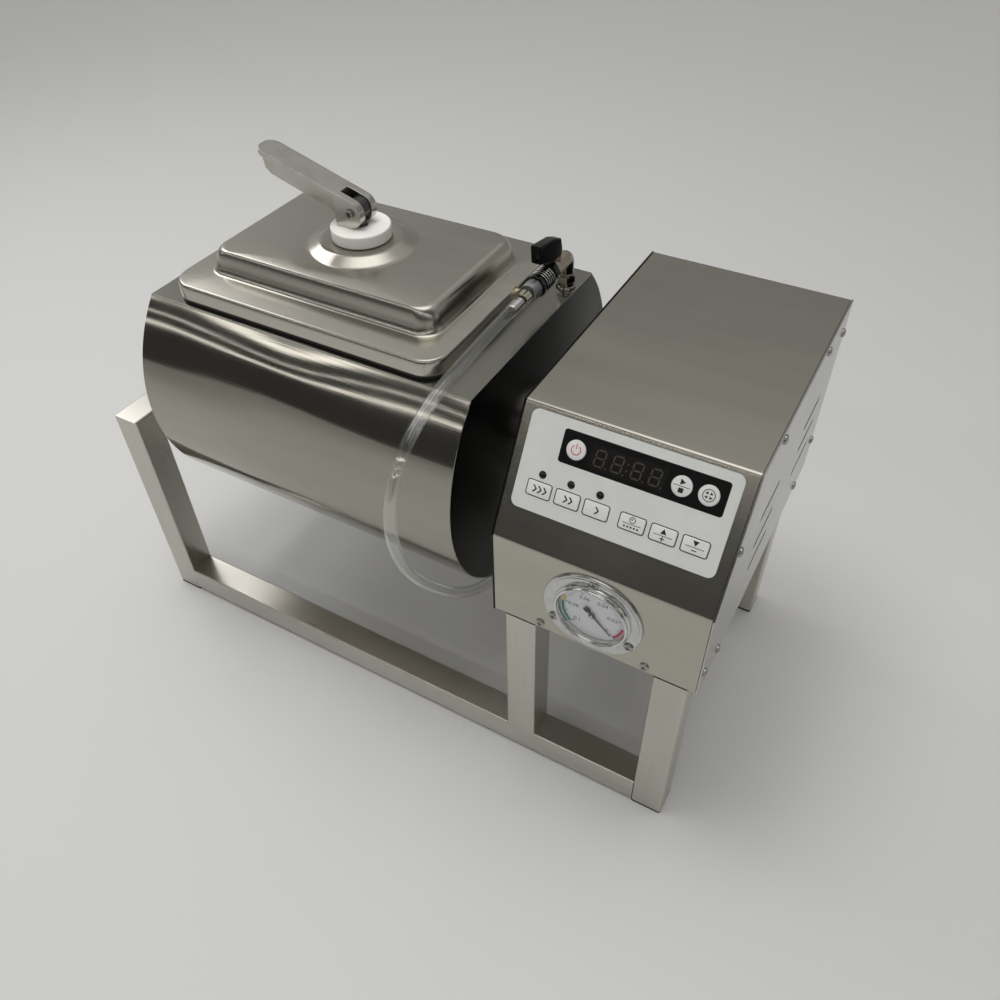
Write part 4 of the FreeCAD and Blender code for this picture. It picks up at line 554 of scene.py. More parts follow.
def hexNut(across, low, high, chamfer):
    loops = []
    drop = chamfer * 0.6
    for inset, height in ((chamfer, low), (0, low + drop), (0, high - drop), (chamfer, high)):
        reach = (across - 2 * inset) / math.sqrt(3)
        loops.append([(x, y, height) for x, y in circleLoop(reach, 0, 0, 6)])
    return rings(loops)


def sweep(path, radius, sides=20, bore=0.0):
    # a round tube along points; radius and bore are one size or one for each point
    path = [Vector(p) for p in path]
    radius = radius if isinstance(radius, list) else [radius] * len(path)
    bore = bore if isinstance(bore, list) else [bore] * len(path)
    tangents = []
    for k in range(len(path)):
        before = path[max(k - 1, 0)]
        after = path[min(k + 1, len(path) - 1)]
        tangents.append((after - before).normalized())
    side = tangents[0].orthogonal().normalized()
    frames = []
    for k, tangent in enumerate(tangents):
        if k:
            side = tangents[k - 1].rotation_difference(tangent) @ side
        frames.append((side.copy(), tangent.cross(side)))

    def loopsOf(sizes):
        out = []
        for point, (a, b), r in zip(path, frames, sizes):
            turns = [2 * math.pi * i / sides for i in range(sides)]
            out.append([point + a * r * math.cos(turn) + b * r * math.sin(turn) for turn in turns])
        return out

    if bore[0]:
        return rings(loopsOf(radius) + loopsOf(bore)[::-1], closed=True)
    return rings(loopsOf(radius))


def softened(piece, width, segments=2, angle=30):
    # round the crisp edges of a piece
    work = bmesh.new()
    work.from_mesh(piece.data)
    sharp = [e for e in work.edges if e.is_manifold and e.calc_face_angle(0) > math.radians(angle)]
    bmesh.ops.bevel(
        work, geom=sharp, offset=width, offset_type="OFFSET", segments=segments, profile=0.5,
        affect="EDGES", clamp_overlap=True,
    )
    work.to_mesh(piece.data)
    work.free()
    piece.data.shade_smooth()
    piece.data.set_sharp_from_angle(angle=math.radians(44))
    return piece


def refined(node, finish, edge=0.0, segments=2, sharp=40):
    # a node's own form with softened edges and even shading, in the node's place
    mesh = nodes[node].data.copy()
    work = bmesh.new()
    work.from_mesh(mesh)
    bmesh.ops.remove_doubles(work, verts=work.verts, dist=2e-6)
    bmesh.ops.dissolve_limit(work, angle_limit=math.radians(0.6), verts=work.verts, edges=work.edges)
    work.to_mesh(mesh)
    work.free()
    carrier = bpy.data.objects.new(node + "_skin", mesh)
    piece = dress(carrier, nodes[node]["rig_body"], finish, [node], sharp)
    if edge:
        softened(piece, edge, segments)
    return piece


# Hose: clear tube from the plug on the drum to the elbow on the housing

hose = {
    "route": [
        (0.0766, 0.0023, 0.4215), (0.0766, -0.046, 0.4215), (0.0776, -0.098, 0.4195),
        (0.0764, -0.144, 0.414), (0.0768, -0.182, 0.400), (0.0762, -0.206, 0.374),
        (0.077, -0.217, 0.340), (0.0776, -0.213, 0.304), (0.080, -0.200, 0.269),
        (0.087, -0.180, 0.238), (0.097, -0.158, 0.213), (0.107, -0.130, 0.202),
        (0.1126, -0.098, 0.206), (0.114, -0.066, 0.221), (0.114, -0.0292, 0.221),
    ],
    "length": 0.5368,
    "radius": 0.005,
    "bore": 0.0038,
    "smoothness": 24,
    "stretch": (0.0115, 0.033),
    "swell": 0.0006,
}


def splineLine(route, smoothness):
    # the points along a smooth curve that has the route as its control points
    curve = bpy.data.curves.new("hoseLine", "CURVE")
    curve.dimensions = "3D"
    spline = curve.splines.new("NURBS")
    spline.points.add(len(route) - 1)
    for point, place in zip(spline.points, route):
        point.co = (*place, 1)
    spline.order_u = 3
    spline.use_endpoint_u = True
    spline.resolution_u = smoothness
    carrier = bpy.data.objects.new("hoseLine", curve)
    bpy.context.scene.collection.objects.link(carrier)
    line = bpy.data.meshes.new_from_object(carrier)
    points = [v.co.copy() for v in line.vertices]
    bpy.data.objects.remove(carrier)
    return points


def stretched(size):
    # the hose is wider where it is pushed over the barb
    first, last = hose["stretch"]
    sizes, run = [], 0.0
    for k, point in enumerate(hosePath):
        run += (point - hosePath[k - 1]).length if k else 0
        share = min(max((run - first) / 0.003, 0), 1) * min(max((last - run) / 0.004, 0), 1)
        sizes.append(size + hose["swell"] * share)
    return sizes


hosePath = splineLine(hose["route"], hose["smoothness"])
hosePiece = newPiece(
    "clearHosePiece",
    sweep(hosePath, stretched(hose["radius"]), 32, stretched(hose["bore"])),
    "drum", "hose", ["vacuum_hose"], 50,
)
print("hose made")

# Frame of square tube, with its feet and the left bearing

for upright in ("left_{}_leg", "right_{}_leg", "mid_{}_post"):
    for side in ("front", "rear"):
        refined(upright.format(side), "frameZ")
for name in ("front_rail", "rear_rail"):
    refined(name, "frameX")
for name in ("left_crossbar", "left_bearer", "right_bearer"):
    refined(name, "frameY")
refined("foot_plugs", "rubber", 0.0006)
refined("pillow_block", "casting", 0.0012, 3)
refined("pillow_bolts", "bright", 0.0005)
print("frame made")

# Drum: rolled shell, flat deck, end plates, hubs and paddles

drum = {
    "left": -0.254,
    "right": 0.087,
    "axis": 0.285,
    "radius": 0.1525,
    "wall": 0.0015,
    "flatUnder": 0.389,
    "lip": 0.0004,
    "steps": 144,
}


def shellSheet():
    start = math.asin((drum["flatUnder"] - drum["axis"]) / drum["radius"])
    lip, wall, radius = drum["lip"], drum["wall"], drum["radius"]
    left, right = drum["left"], drum["right"]
    section = [
        (radius, left + lip), (radius, right - lip), (radius - lip, right), (radius - wall + lip, right),
        (radius - wall, right - lip), (radius - wall, left + lip), (radius - wall + lip, left), (radius - lip, left),
    ]
    loops = []
    for i in range(drum["steps"] + 1):
        turn = math.pi - start + (math.pi + 2 * start) * i / drum["steps"]
        loops.append([(x, r * math.cos(turn), drum["axis"] + r * math.sin(turn)) for r, x in section])
    return rings(loops)


newPiece("drumShellSheet", shellSheet(), "drum", "drum", ["drum_shell"], 30, True)
refined("drum_deck", "deck", 0.0005, 3)
refined("left_end_plate", "endPlate")
# painted shade: the right end plate, facing the dark gap by the housing, takes the near-black shade finish
refined("right_end_plate", "shade")
refined("left_hub", "cast")
refined("right_hub", "cast")
refined("tumbling_paddles", "inner", 0.001, 3)
print("drum made")

# Lid: a pan pressed in two steps, its gasket, the clamp

lid = {
    "centre": (-0.089, 0.0),
    "sheet": 0.0015,
    # length, width, corner radius, height
    "stations": [
        (0.2810, 0.2110, 0.0205, 0.3933),
        (0.2840, 0.2140, 0.0220, 0.3939),
        (0.2840, 0.2140, 0.0220, 0.4083),
        (0.2404, 0.1524, 0.0180, 0.4087),
        (0.2320, 0.1440, 0.0140, 0.4303),
        (0.0980, 0.0980, 0.0489, 0.4303),
        (0.0740, 0.0740, 0.0369, 0.4363),
        (0.0140, 0.0140, 0.0069, 0.4363),
    ],
    "reach": [0, 0.0010, 0.0065, 0.0084, 0.0135, 0.0067, 0.0067, 0],
}


def lidPan():
    x, y = lid["centre"]
    loops = []
    for length, width, corner, height in eased(lid["stations"], lid["reach"], 7):
        loops.append([(px, py, height) for px, py in roundedLoop(length, width, corner, 14, x, y)])
    return rings(loops, ends=False)


pan = newPiece("lidPanSheet", lidPan(), "lid", "lid", ["lid_pan"], 60)
sheet = pan.modifiers.new("sheet", "SOLIDIFY")
sheet.thickness = lid["sheet"]
sheet.offset = -1
refined("lid_gasket", "rubber", 0.0004)

washer = {"radius": 0.027, "hole": 0.0063, "low": 0.4363, "high": 0.4478}
newPiece(
    "washerRing",
    moved(
        lathe(
            [
                (washer["hole"], washer["low"]), (washer["radius"], washer["low"]),
                (washer["radius"], washer["high"]), (washer["hole"], washer["high"]),
            ],
            72, 0.0016,
        ),
        Matrix.Translation((*lid["centre"], 0)),
    ),
    "washer", "washer", ["clamp_washer"],
)
refined("cam_lever", "cast", 0.0009, 3)
refined("clamp_stud", "eye", 0.0006, 2)
refined("lever_pin", "bright", 0.0004)
print("lid and clamp made")

# Vacuum fittings: elbow, ball valve, coupler, plug and clamp in one line over the deck

fittings = {
    "x": 0.0766,
    "rear": 0.0768,
    "height": 0.4215,
    "nutAcross": 0.0152,
    "nutLow": 0.3966,
    "nutTop": 0.4040,
    "collarTop": 0.4055,
    "bend": 0.007,
    "pipe": 0.0068,
    "bore": 0.0035,
    "valve": 0.0693,
    "sleeve": 0.0375,
    "plug": 0.0155,
}


def elbowPipe():
    x, y, top, bend = fittings["x"], fittings["rear"], fittings["height"], fittings["bend"]
    path = [(x, y, fittings["nutLow"]), (x, y, 0.401), (x, y, 0.408)]
    for i in range(11):
        turn = math.pi / 2 * i / 10
        path.append((x, y - bend * (1 - math.cos(turn)), top - bend + bend * math.sin(turn)))
    path.append((x, fittings["valve"] + 0.0001, top))
    return sweep(path, fittings["pipe"], 36, fittings["bore"])


above = Matrix.Translation((fittings["x"], fittings["rear"], 0))
nutTop, collarTop = fittings["nutTop"], fittings["collarTop"]
collar = [(0.0066, nutTop), (0.0078, nutTop), (0.0078, collarTop), (0.0066, collarTop)]
newPiece(
    "elbowFitting",
    merged(
        elbowPipe(),
        moved(hexNut(fittings["nutAcross"], fittings["nutLow"], nutTop, 0.0010), above),
        moved(lathe(collar, 48, 0.0004), above),
    ),
    "drum", "nickel", ["vacuum_elbow"],
)
bead = [(0.0072, 0.3904), (0.0092, 0.3904), (0.0090, 0.3922), (0.0079, 0.3935), (0.0072, 0.3928)]
newPiece("socketBead", moved(lathe(bead, 48, 0.0006), above), "drum", "bright")
refined("valve_body", "valve", 0.0004)
refined("valve_handle", "black", 0.0022, 3)
refined("coupler_socket", "sleeve", 0.0004)
refined("hose_clamp", "band", 0.0003)
refined("hose_elbow", "nickel")

along = toward((fittings["x"], fittings["sleeve"], fittings["height"]), (0, -1, 0))
ridges = [(0.0071, 0), (0.0086, 0), (0.0096, 0.0008), (0.0096, 0.0018)]
ridge = [(0.0081, 0), (0.0096, 0.0006), (0.0099, 0.0012), (0.0096, 0.0018), (0.0081, 0.0024)]
for i in range(5):
    ridges += [(r, 0.0024 + 0.0030 * i + h) for r, h in ridge]
ridges += [(0.0086, 0.0178), (0.0099, 0.0186), (0.0099, 0.0212), (0.0092, 0.0220), (0.0071, 0.0220)]
newPiece("sleeveRings", moved(lathe(ridges, 64), along), "sleeve", "sleeve", ["coupler_sleeve"], 32)
# painted highlight: thin chrome bands over the sleeve's ridge tops stand in for the bright arcs that light draws on
# the black ridges
ridgeGlint = [(0.0095, -0.0005), (0.0099, -0.0003), (0.0100, 0), (0.0099, 0.0003), (0.0095, 0.0005)]
ridgeGlints = [lathe([(r, 0.0036 + 0.0030 * i + h) for r, h in ridgeGlint], 64) for i in range(5)]
newPiece("sleeveRidgeHighlights", moved(merged(*ridgeGlints), along), "sleeve", "chrome", (), 60)

along = toward((fittings["x"], fittings["plug"], fittings["height"]), (0, -1, 0))
plugBody = [
    (0.0024, -0.012), (0.0039, -0.012), (0.0039, 0.0003), (0.0073, 0.0003), (0.0080, 0.0009), (0.0080, 0.0105),
    (0.0077, 0.0110), (0.0077, 0.0114), (0.0080, 0.0119), (0.0078, 0.0125), (0.0066, 0.0130), (0.0024, 0.0130),
]
newPiece("hosePlugBody", moved(lathe(plugBody, 56), along), "drum", "plug", ["hose_plug"], 32)
barb = [(0.0030, 0.0130), (0.0034, 0.0130), (0.0034, 0.0250)]
for i in range(4):
    foot = 0.0255 + 0.0040 * i
    barb += [(0.0036, foot), (0.0043, foot + 0.0008), (0.0043, foot + 0.0020), (0.0036, foot + 0.0034)]
barb += [(0.0040, 0.0420), (0.0031, 0.0420)]
newPiece("hoseBarb", moved(lathe(barb, 56), along), "drum", "barb")
# painted shade: a dark core fills the barb's bore so that its open end reads as a dark hole
boreShade = [(0, 0.0131), (0.00295, 0.0131), (0.00295, 0.0411), (0, 0.0411)]
newPiece("barbBoreShade", moved(lathe(boreShade, 40), along), "drum", "eye")
print("fittings made")

# Housing: bent cover, side panels with slots, tray, screws

housing = {
    "left": 0.1276,
    "right": 0.3136,
    "coverLeft": 0.1294,
    "coverRight": 0.3118,
    "sheet": 0.0015,
    # side outline as Y, Z
    "outline": [(-0.155, 0.209), (-0.155, 0.3015), (-0.098, 0.400), (0.157, 0.400), (0.157, 0.209)],
    "bends": 0.0026,
    "slots": [(0.087, 0.325), (0.087, 0.300), (0.087, 0.272), (-0.0325, 0.321), (-0.0325, 0.290), (-0.0325, 0.263)],
    "slotLength": 0.052,
    "slotWidth": 0.005,
    # radius, Y and Z of the holes in the left panel
    "leftHoles": [(0.014, 0, 0.285), (0.00555, -0.020, 0.221)],
    # X and Z of the gauge's middle, and the radius of its hole
    "gauge": (0.2197, 0.2555),
    "gaugeHole": 0.0312,
}


def bentCover():
    foot = [(-0.155, 0.2108), *housing["outline"][1:4], (0.157, 0.3982)]
    outer = eased(foot, [0] + [housing["bends"]] * 3 + [0], 6)
    count = len(outer)
    inner = []
    for k, here in enumerate(outer):
        before, after = outer[max(k - 1, 0)], outer[min(k + 1, count - 1)]
        run = (after - before).normalized()
        inner.append(here + Vector((run.y, -run.x)) * housing["sheet"])
    section = outer + inner[::-1]
    lip = 0.0003
    left, right = housing["coverLeft"], housing["coverRight"]
    loops = []
    for x, shrink in ((left, lip), (left + lip, 0), (right - lip, 0), (right, lip)):
        loop = []
        for k, here in enumerate(section):
            other = section[len(section) - 1 - k]
            pull = (other - here).normalized() * shrink
            loop.append((x, here.x + pull.x, here.y + pull.y))
        loops.append(loop)
    points, faces = rings(loops, ends=False)
    size = len(section)
    for k in range(count - 1):
        a, b = k, k + 1
        c, d = size - 1 - b, size - 1 - a
        faces.append((a, b, c, d))
        faces.append(tuple(3 * size + i for i in (a, b, c, d)))
    return points, faces


gaugeX, gaugeZ = housing["gauge"]
holeLoop = circleLoop(housing["gaugeHole"], gaugeX, gaugeZ, 72)
cover = carved(bentCover(), rings([[(x, y, z) for x, z in holeLoop] for y in (-0.160, -0.150)]))
newPiece("coverSheet", cover, "base", "housing", ["bent_cover"], 50, True)


def sidePanel(name, start, holes, replaced, finish):
    loops = [housing["outline"]]
    for y, z in housing["slots"]:
        loops.append(roundedLoop(housing["slotLength"], housing["slotWidth"], housing["slotWidth"] / 2, 6, y, z))
    made = cutSheet(loops + holes, 0, housing["sheet"])
    across = Matrix(((0, 0, 1, start), (1, 0, 0, 0), (0, 1, 0, 0), (0, 0, 0, 1)))
    piece = newPiece(name, moved(made, across), "base", finish, [replaced], 30, True)
    return softened(piece, 0.00025, 2)


panelHoles = [circleLoop(*hole) for hole in housing["leftHoles"]]
# painted shade: the left panel, facing the drum across the dark gap, takes the near-black shade finish
sidePanel("leftPanelSheet", housing["left"], panelHoles, "left_panel", "shade")
sidePanel("rightPanelSheet", housing["right"] - housing["sheet"], [], "right_panel", "panel")
refined("base_and_back", "housing")
refined("mains_inlet", "black", 0.0006)

screws = {
    "head": 0.0040,
    "rise": 0.0022,
    "sides": [
        (0.149, 0.371), (0.082, 0.392), (-0.044, 0.392), (-0.1207, 0.3448), (0.149, 0.248),
        (-0.147, 0.231), (-0.110, 0.217), (0.112, 0.217),
    ],
    "front": [(0.1734, 0.217), (0.2677, 0.217)],
    "gaugeCircle": 0.0384,
}


def screwHead():
    # a domed head with a cross recess
    head, rise = screws["head"], screws["rise"]
    profile = [(0, -0.004), (0.002, -0.004), (0.002, 0), (head, 0), (head, 0.35 * rise)]
    for i in range(1, 6):
        turn = math.pi / 2 * i / 6
        profile.append((head * math.cos(turn), rise * (0.35 + 0.65 * math.sin(turn))))
    profile.append((0, rise))
    recess = rings([[(x, y, z) for x, y in crossLoop(0.0022, 0.00045)] for z in (rise - 0.0011, rise + 0.0011)])
    return carved(lathe(profile, 32), recess)


head = screwHead()
spots = []
for k, (y, z) in enumerate(screws["sides"]):
    spots.append(toward((housing["left"], y, z), (-1, 0, 0), 0.7 * k))
    spots.append(toward((housing["right"], y, z), (1, 0, 0), 0.5 + 0.9 * k))
for k, (x, z) in enumerate(screws["front"]):
    spots.append(toward((x, -0.155, z), (0, -1, 0), 0.4 + 0.8 * k))
for k in range(3):
    turn = math.radians(120 * k)
    x, z = gaugeX + screws["gaugeCircle"] * math.sin(turn), gaugeZ + screws["gaugeCircle"] * math.cos(turn)
    spots.append(toward((x, -0.157, z), (0, -1, 0), 0.3 + 1.1 * k))
heads = merged(*[moved(head, spot) for spot in spots])
newPiece("panScrews", heads, "base", "bright", ["panel_screws"], 32)
# painted shade: a thin dark cross plate lies at the floor of each screw's cross recess
floorOf = screws["rise"] - 0.0010
cross = rings([[(x, y, z) for x, y in crossLoop(0.0021, 0.0004)] for z in (floorOf - 0.0002, floorOf)])
newPiece("screwRecessShade", merged(*[moved(cross, spot) for spot in spots]), "base", "eye")
print("housing made")

# Control panel on the slope: film, display, keys with plain signs, lamps

slope = Matrix(((1, 0, 0, 0.1276), (0, 0.5009, -0.8655, -0.155), (0, 0.8655, 0.5009, 0.3015), (0, 0, 0, 1)))
panel = {
    "film": 0.0008,
    "window": (0.0385, 0.1675, 0.0755, 0.1020),
    "display": (0.0623, 0.1223, 0.0778, 0.0978),
    "keyTop": 0.0015,
    "keyFoot": -0.0017,
    "keyRow": 0.0493,
    "keySize": (0.0196, 0.0116, 0.0015),
    "roundRow": 0.0882,
    "roundRadius": 0.0077,
    "lampRow": 0.0614,
    "lampRadius": 0.0029,
    "keys": {
        "speed_1_key": 0.0301, "speed_2_key": 0.0541, "speed_3_key": 0.0781,
        "time_key": 0.1072, "up_key": 0.1316, "down_key": 0.1560,
    },
    "buttons": {"power_button": 0.0509, "start_button": 0.1341, "vacuum_button": 0.1543},
    "ink": 0.00003,
}


def onPanel(name, made, body, finish, replaces=(), sharp=35):
    return newPiece(name, moved(made, slope), body, finish, replaces, sharp)


refined("control_overlay", "film", 0.0003)
left, right, low, high = panel["window"]
windowLoop = roundedLoop(right - left, high - low, 0.0025, 8, (left + right) / 2, (low + high) / 2)
holes = [circleLoop(panel["roundRadius"] + 0.0003, x, panel["roundRow"], 48) for x in panel["buttons"].values()]
film = panel["film"]
onPanel("displayWindow", cutSheet([windowLoop, *holes], film, film + 0.00006), "base", "window")
refined("display_module", "segment")
refined("control_board", "board")


def digit(x, y, tall):
    # the seven bars of one digit, leaning a little
    half, bar, gap = tall * 0.27, tall * 0.085, tall * 0.03
    lean = 0.10

    def at(px, py):
        return (x + px + lean * py, y + py)

    def slat(a, b):
        a, b = Vector(a), Vector(b)
        run = (b - a).normalized()
        side, point = Vector((-run.y, run.x)) * bar / 2, run * bar / 2
        a, b = a + run * gap, b - run * gap
        corners = (a, a + point + side, b - point + side, b, b - point - side, a + point - side)
        return [at(p.x, p.y) for p in corners]

    top = tall / 2 - bar / 2
    return [
        slat((-half, top), (half, top)), slat((-half, 0), (half, 0)), slat((-half, -top), (half, -top)),
        slat((-half, 0), (-half, top)), slat((half, 0), (half, top)),
        slat((-half, -top), (-half, 0)), slat((half, -top), (half, 0)),
    ]


left, right, low, high = panel["display"]
middle = (low + high) / 2
glass = roundedLoop(right - left - 0.001, high - low - 0.001, 0.001, 4, (left + right) / 2, middle)
onPanel("displayGlass", cutSheet([glass], film + 0.00006, film + 0.00009), "base", "glassDark")
bars = []
for x in (0.0705, 0.0845, 0.1000, 0.1140):
    bars += digit(x, middle, 0.0135)
    bars.append(circleLoop(0.0007, x + 0.0056, middle - 0.0063, 12))
for y in (0.0026, -0.0026):
    bars.append(circleLoop(0.0007, 0.0922 + 0.1 * y, middle + y, 12))
digits = merged(*[cutSheet([loop], film + 0.00009, film + 0.00012) for loop in bars])
onPanel("displayDigits", digits, "base", "segment")

wide = panel["lampRadius"]
ring = [(wide, -0.0012), (wide, film + 0.0003), (0.0026, 0.0012), (0.0024, 0.0010), (0, 0.0019), (0, -0.0012)]
for x in [panel["keys"][f"speed_{i}_key"] for i in (1, 2, 3)]:
    spot = Matrix.Translation((x, panel["lampRow"], 0))
    onPanel(f"lamp{round(1e4 * x)}", moved(lathe(ring, 28), spot), "base", "lamp", (), 50)

keyWide, keyTall, keyCorner = panel["keySize"]
outlines = []
for name, x in panel["keys"].items():
    loop = roundedLoop(keyWide, keyTall, keyCorner, 6, x, panel["keyRow"])
    onPanel(name + "Cap", plate(loop, panel["keyFoot"], panel["keyTop"], 0.0006), name, "key", [name], 50)
    outlines.append(roundedLoop(keyWide + 0.0017, keyTall + 0.0017, keyCorner + 0.0008, 6, x, panel["keyRow"]))
    outlines.append(roundedLoop(keyWide + 0.0004, keyTall + 0.0004, keyCorner + 0.0002, 6, x, panel["keyRow"]))
# a thin dark ring on the film round each key
onPanel("keyOutlines", cutSheet(outlines, film, film + panel["ink"]), "base", "ink")
for name, x in panel["buttons"].items():
    loop = circleLoop(panel["roundRadius"], x, panel["roundRow"], 56)
    onPanel(name + "Cap", plate(loop, panel["keyFoot"], panel["keyTop"], 0.0005), name, "key", [name], 50)


def chevron(x, y, size, width=0.0011):
    return [
        (x - size * 0.4, y + size), (x - size * 0.4 + width * 1.4, y + size), (x + size * 0.6 + width, y),
        (x - size * 0.4 + width * 1.4, y - size), (x - size * 0.4, y - size), (x + size * 0.6 - width * 0.4, y),
    ]


def levelBar(x, y, half, width):
    return barLoop((x - half, y), (x + half, y), width)


def triangle(x, y, size, turn):
    turns = [math.radians(turn + 120 * i) for i in range(3)]
    return [(x + size * math.cos(a), y + size * math.sin(a)) for a in turns]


signs = {}
row = panel["keyRow"]
for count, name in ((3, "speed_1_key"), (2, "speed_2_key"), (1, "speed_3_key")):
    x = panel["keys"][name]
    signs[name] = [chevron(x + 0.0042 * (i - (count - 1) / 2), row, 0.0029) for i in range(count)]
x = panel["keys"]["time_key"]
signs["time_key"] = [
    circleLoop(0.0025, x, row + 0.0027, 32), circleLoop(0.0019, x, row + 0.0027, 32),
    barLoop((x, row + 0.0025), (x, row + 0.0042), 0.0006),
    barLoop((x - 0.0012, row + 0.0032), (x - 0.0004, row + 0.0024), 0.0006),
    levelBar(x, row - 0.0007, 0.0072, 0.0005),
    *[circleLoop(0.0008, x + 0.0026 * i, row - 0.0031, 16) for i in (-2, -1, 0, 1, 2)],
]
x = panel["keys"]["up_key"]
signs["up_key"] = [
    triangle(x, row + 0.0020, 0.0028, 90),
    levelBar(x, row - 0.0007, 0.0072, 0.0005),
    [(x + px, row - 0.0031 + py) for px, py in crossLoop(0.0019, 0.0004)],
]
x = panel["keys"]["down_key"]
signs["down_key"] = [
    triangle(x, row + 0.0030, 0.0028, -90),
    levelBar(x, row - 0.0007, 0.0072, 0.0005),
    levelBar(x, row - 0.0031, 0.0020, 0.0008),
]
row = panel["roundRow"]
x = panel["buttons"]["start_button"]
signs["start_button"] = [
    triangle(x - 0.0003, row + 0.0032, 0.0027, 0),
    levelBar(x, row, 0.0062, 0.0005),
    roundedLoop(0.0038, 0.0036, 0.0003, 3, x, row - 0.0031),
]
x = panel["buttons"]["vacuum_button"]
signs["vacuum_button"] = [circleLoop(0.0048, x, row, 40), circleLoop(0.0042, x, row, 40)]
for turn in (45, 135, 225, 315):
    away = 0.0022 * math.cos(math.radians(turn)), 0.0022 * math.sin(math.radians(turn))
    signs["vacuum_button"].append(triangle(x + away[0], row + away[1], 0.0015, turn + 180))
x = panel["buttons"]["power_button"]
signs["power_button"] = [
    [(x + px, row + py) for px, py in arcBand(0.0033, 0.0040, 122, 418, 40)],
    barLoop((x, row + 0.0008), (x, row + 0.0052), 0.0007),
]
top = panel["keyTop"]
for name, loops in signs.items():
    ink = "redInk" if name == "power_button" else "ink"
    onPanel(name + "Sign", cutSheet(loops, top, top + panel["ink"]), name, ink)
print("control panel made")

# Vacuum gauge: flange, ring, lens, dial with plain figures, needle

gauge = {
    "place": (gaugeX, -0.155, gaugeZ),
    "start": -45,
    "sweep": 270,
    "figures": ["0", "0.02", "0.04", "0.06", "0.08", "0.1"],
    "ink": 0.00005,
}
face = Matrix.Translation(gauge["place"]) @ Matrix(((1, 0, 0, 0), (0, 0, -1, 0), (0, 1, 0, 0), (0, 0, 0, 1)))


def onGauge(name, made, body, finish, replaces=(), sharp=35):
    return newPiece(name, moved(made, face), body, finish, replaces, sharp)


rim = [
    (0.0312, 0), (0.0432, 0), (0.0432, 0.0014), (0.0426, 0.0023),
    (0.0415, 0.0026), (0.0406, 0.0021), (0.0398, 0.0018), (0.0312, 0.0018),
]
onGauge("gaugeFlange", lathe(rim, 96, 0.0003), "base", "flange", (), 40)
bezel = [
    (0.0288, -0.0005), (0.0334, -0.0005), (0.0338, 0.0022), (0.0330, 0.0036), (0.0322, 0.0040), (0.0321, 0.0056),
    (0.0314, 0.0064), (0.0304, 0.0066), (0.0298, 0.0060), (0.0296, 0.0045), (0.0290, 0.0030), (0.0288, 0.0010),
]
barrel = [(0.0290, -0.0380), (0.0310, -0.0380), (0.0310, 0.0002), (0.0290, 0.0002)]
case = merged(lathe(bezel, 96, 0.0004), lathe(barrel, 64))
onGauge("gaugeRing", case, "base", "chrome", ["gauge_case"], 40)
dome = [(0.0296, 0.0040)]
for turn in range(0, 90, 10):
    dome.append((0.0296 * math.cos(math.radians(turn)), 0.0050 + 0.0026 * math.sin(math.radians(turn))))
dome += [(0, 0.0076), (0, 0.0062), (0.0150, 0.0056), (0.0250, 0.0040)]
onGauge("gaugeGlass", lathe(dome, 72), "base", "lens", ["gauge_lens"], 50)
dial = [(0, -0.0182), (0.0286, -0.0182), (0.0286, 0), (0, 0)]
onGauge("gaugeDialPlate", lathe(dial, 72), "base", "dial", ["gauge_dial"])


def dialAngle(share):
    return gauge["start"] + gauge["sweep"] * share


def dialPrint():
    inked = []
    for i in range(51):
        major, middle = i % 10 == 0, i % 5 == 0
        inner = 0.0212 if major else 0.0226 if middle else 0.0238
        thick = 0.0007 if major else 0.0005 if middle else 0.0003
        turn = math.radians(dialAngle(i / 50))
        away = Vector((math.cos(turn), math.sin(turn)))
        inked.append(barLoop(away * inner, away * 0.0250, thick))
    made = [cutSheet([loop], 0, gauge["ink"]) for loop in inked]
    for i, text in enumerate(gauge["figures"]):
        turn = math.radians(dialAngle(i / 5))
        reach = 0.0172 if len(text) > 3 else 0.0182
        made.append(figures(text, 0.0054, 0, gauge["ink"], reach * math.cos(turn), reach * math.sin(turn)))
    return merged(*made)


onGauge("dialFigures", dialPrint(), "base", "ink")
for ink, start, stop in (("red", -45, -8), ("green", 174, 225), ("yellow", 157, 174)):
    band = cutSheet([arcBand(0.0252, 0.0276, start, stop)], 0, gauge["ink"])
    onGauge(f"dial{ink.title()}Band", band, "base", ink)


def needleShape():
    # pointer, wide tail and hub cap, drawn along X and turned to the zero mark
    blade = [
        (0.0240, 0.0002), (0.0030, 0.0009), (-0.0028, 0.0012), (-0.0056, 0.0030), (-0.0092, 0.0024),
        (-0.0092, -0.0024), (-0.0056, -0.0030), (-0.0028, -0.0012), (0.0030, -0.0009), (0.0240, -0.0002),
    ]
    turn = Matrix.Rotation(math.radians(gauge["start"]), 4, "Z")
    return moved(cutSheet([blade], 0.0012, 0.0016), turn)


onGauge("needleBlade", needleShape(), "needle", "ink", ["gauge_needle"])
hub = [(0, 0.0002), (0.0012, 0.0002), (0.0030, 0.0016), (0.0030, 0.0022), (0.0012, 0.0026), (0, 0.0026)]
onGauge("needleHub", lathe(hub, 32, 0.0002), "needle", "eye")
pin = [(0, 0.0026), (0.0012, 0.0026), (0.0012, 0.0031), (0, 0.0031)]
onGauge("needlePin", lathe(pin, 20, 0.0001), "needle", "band")
refined("gear_motor", "motor", 0.001)
refined("vacuum_pump", "pump", 0.001)
print("gauge made")

for node in nodes.values():
    for holder in node.material_slots:
        holder.material = finishes["inner"]

# Studio

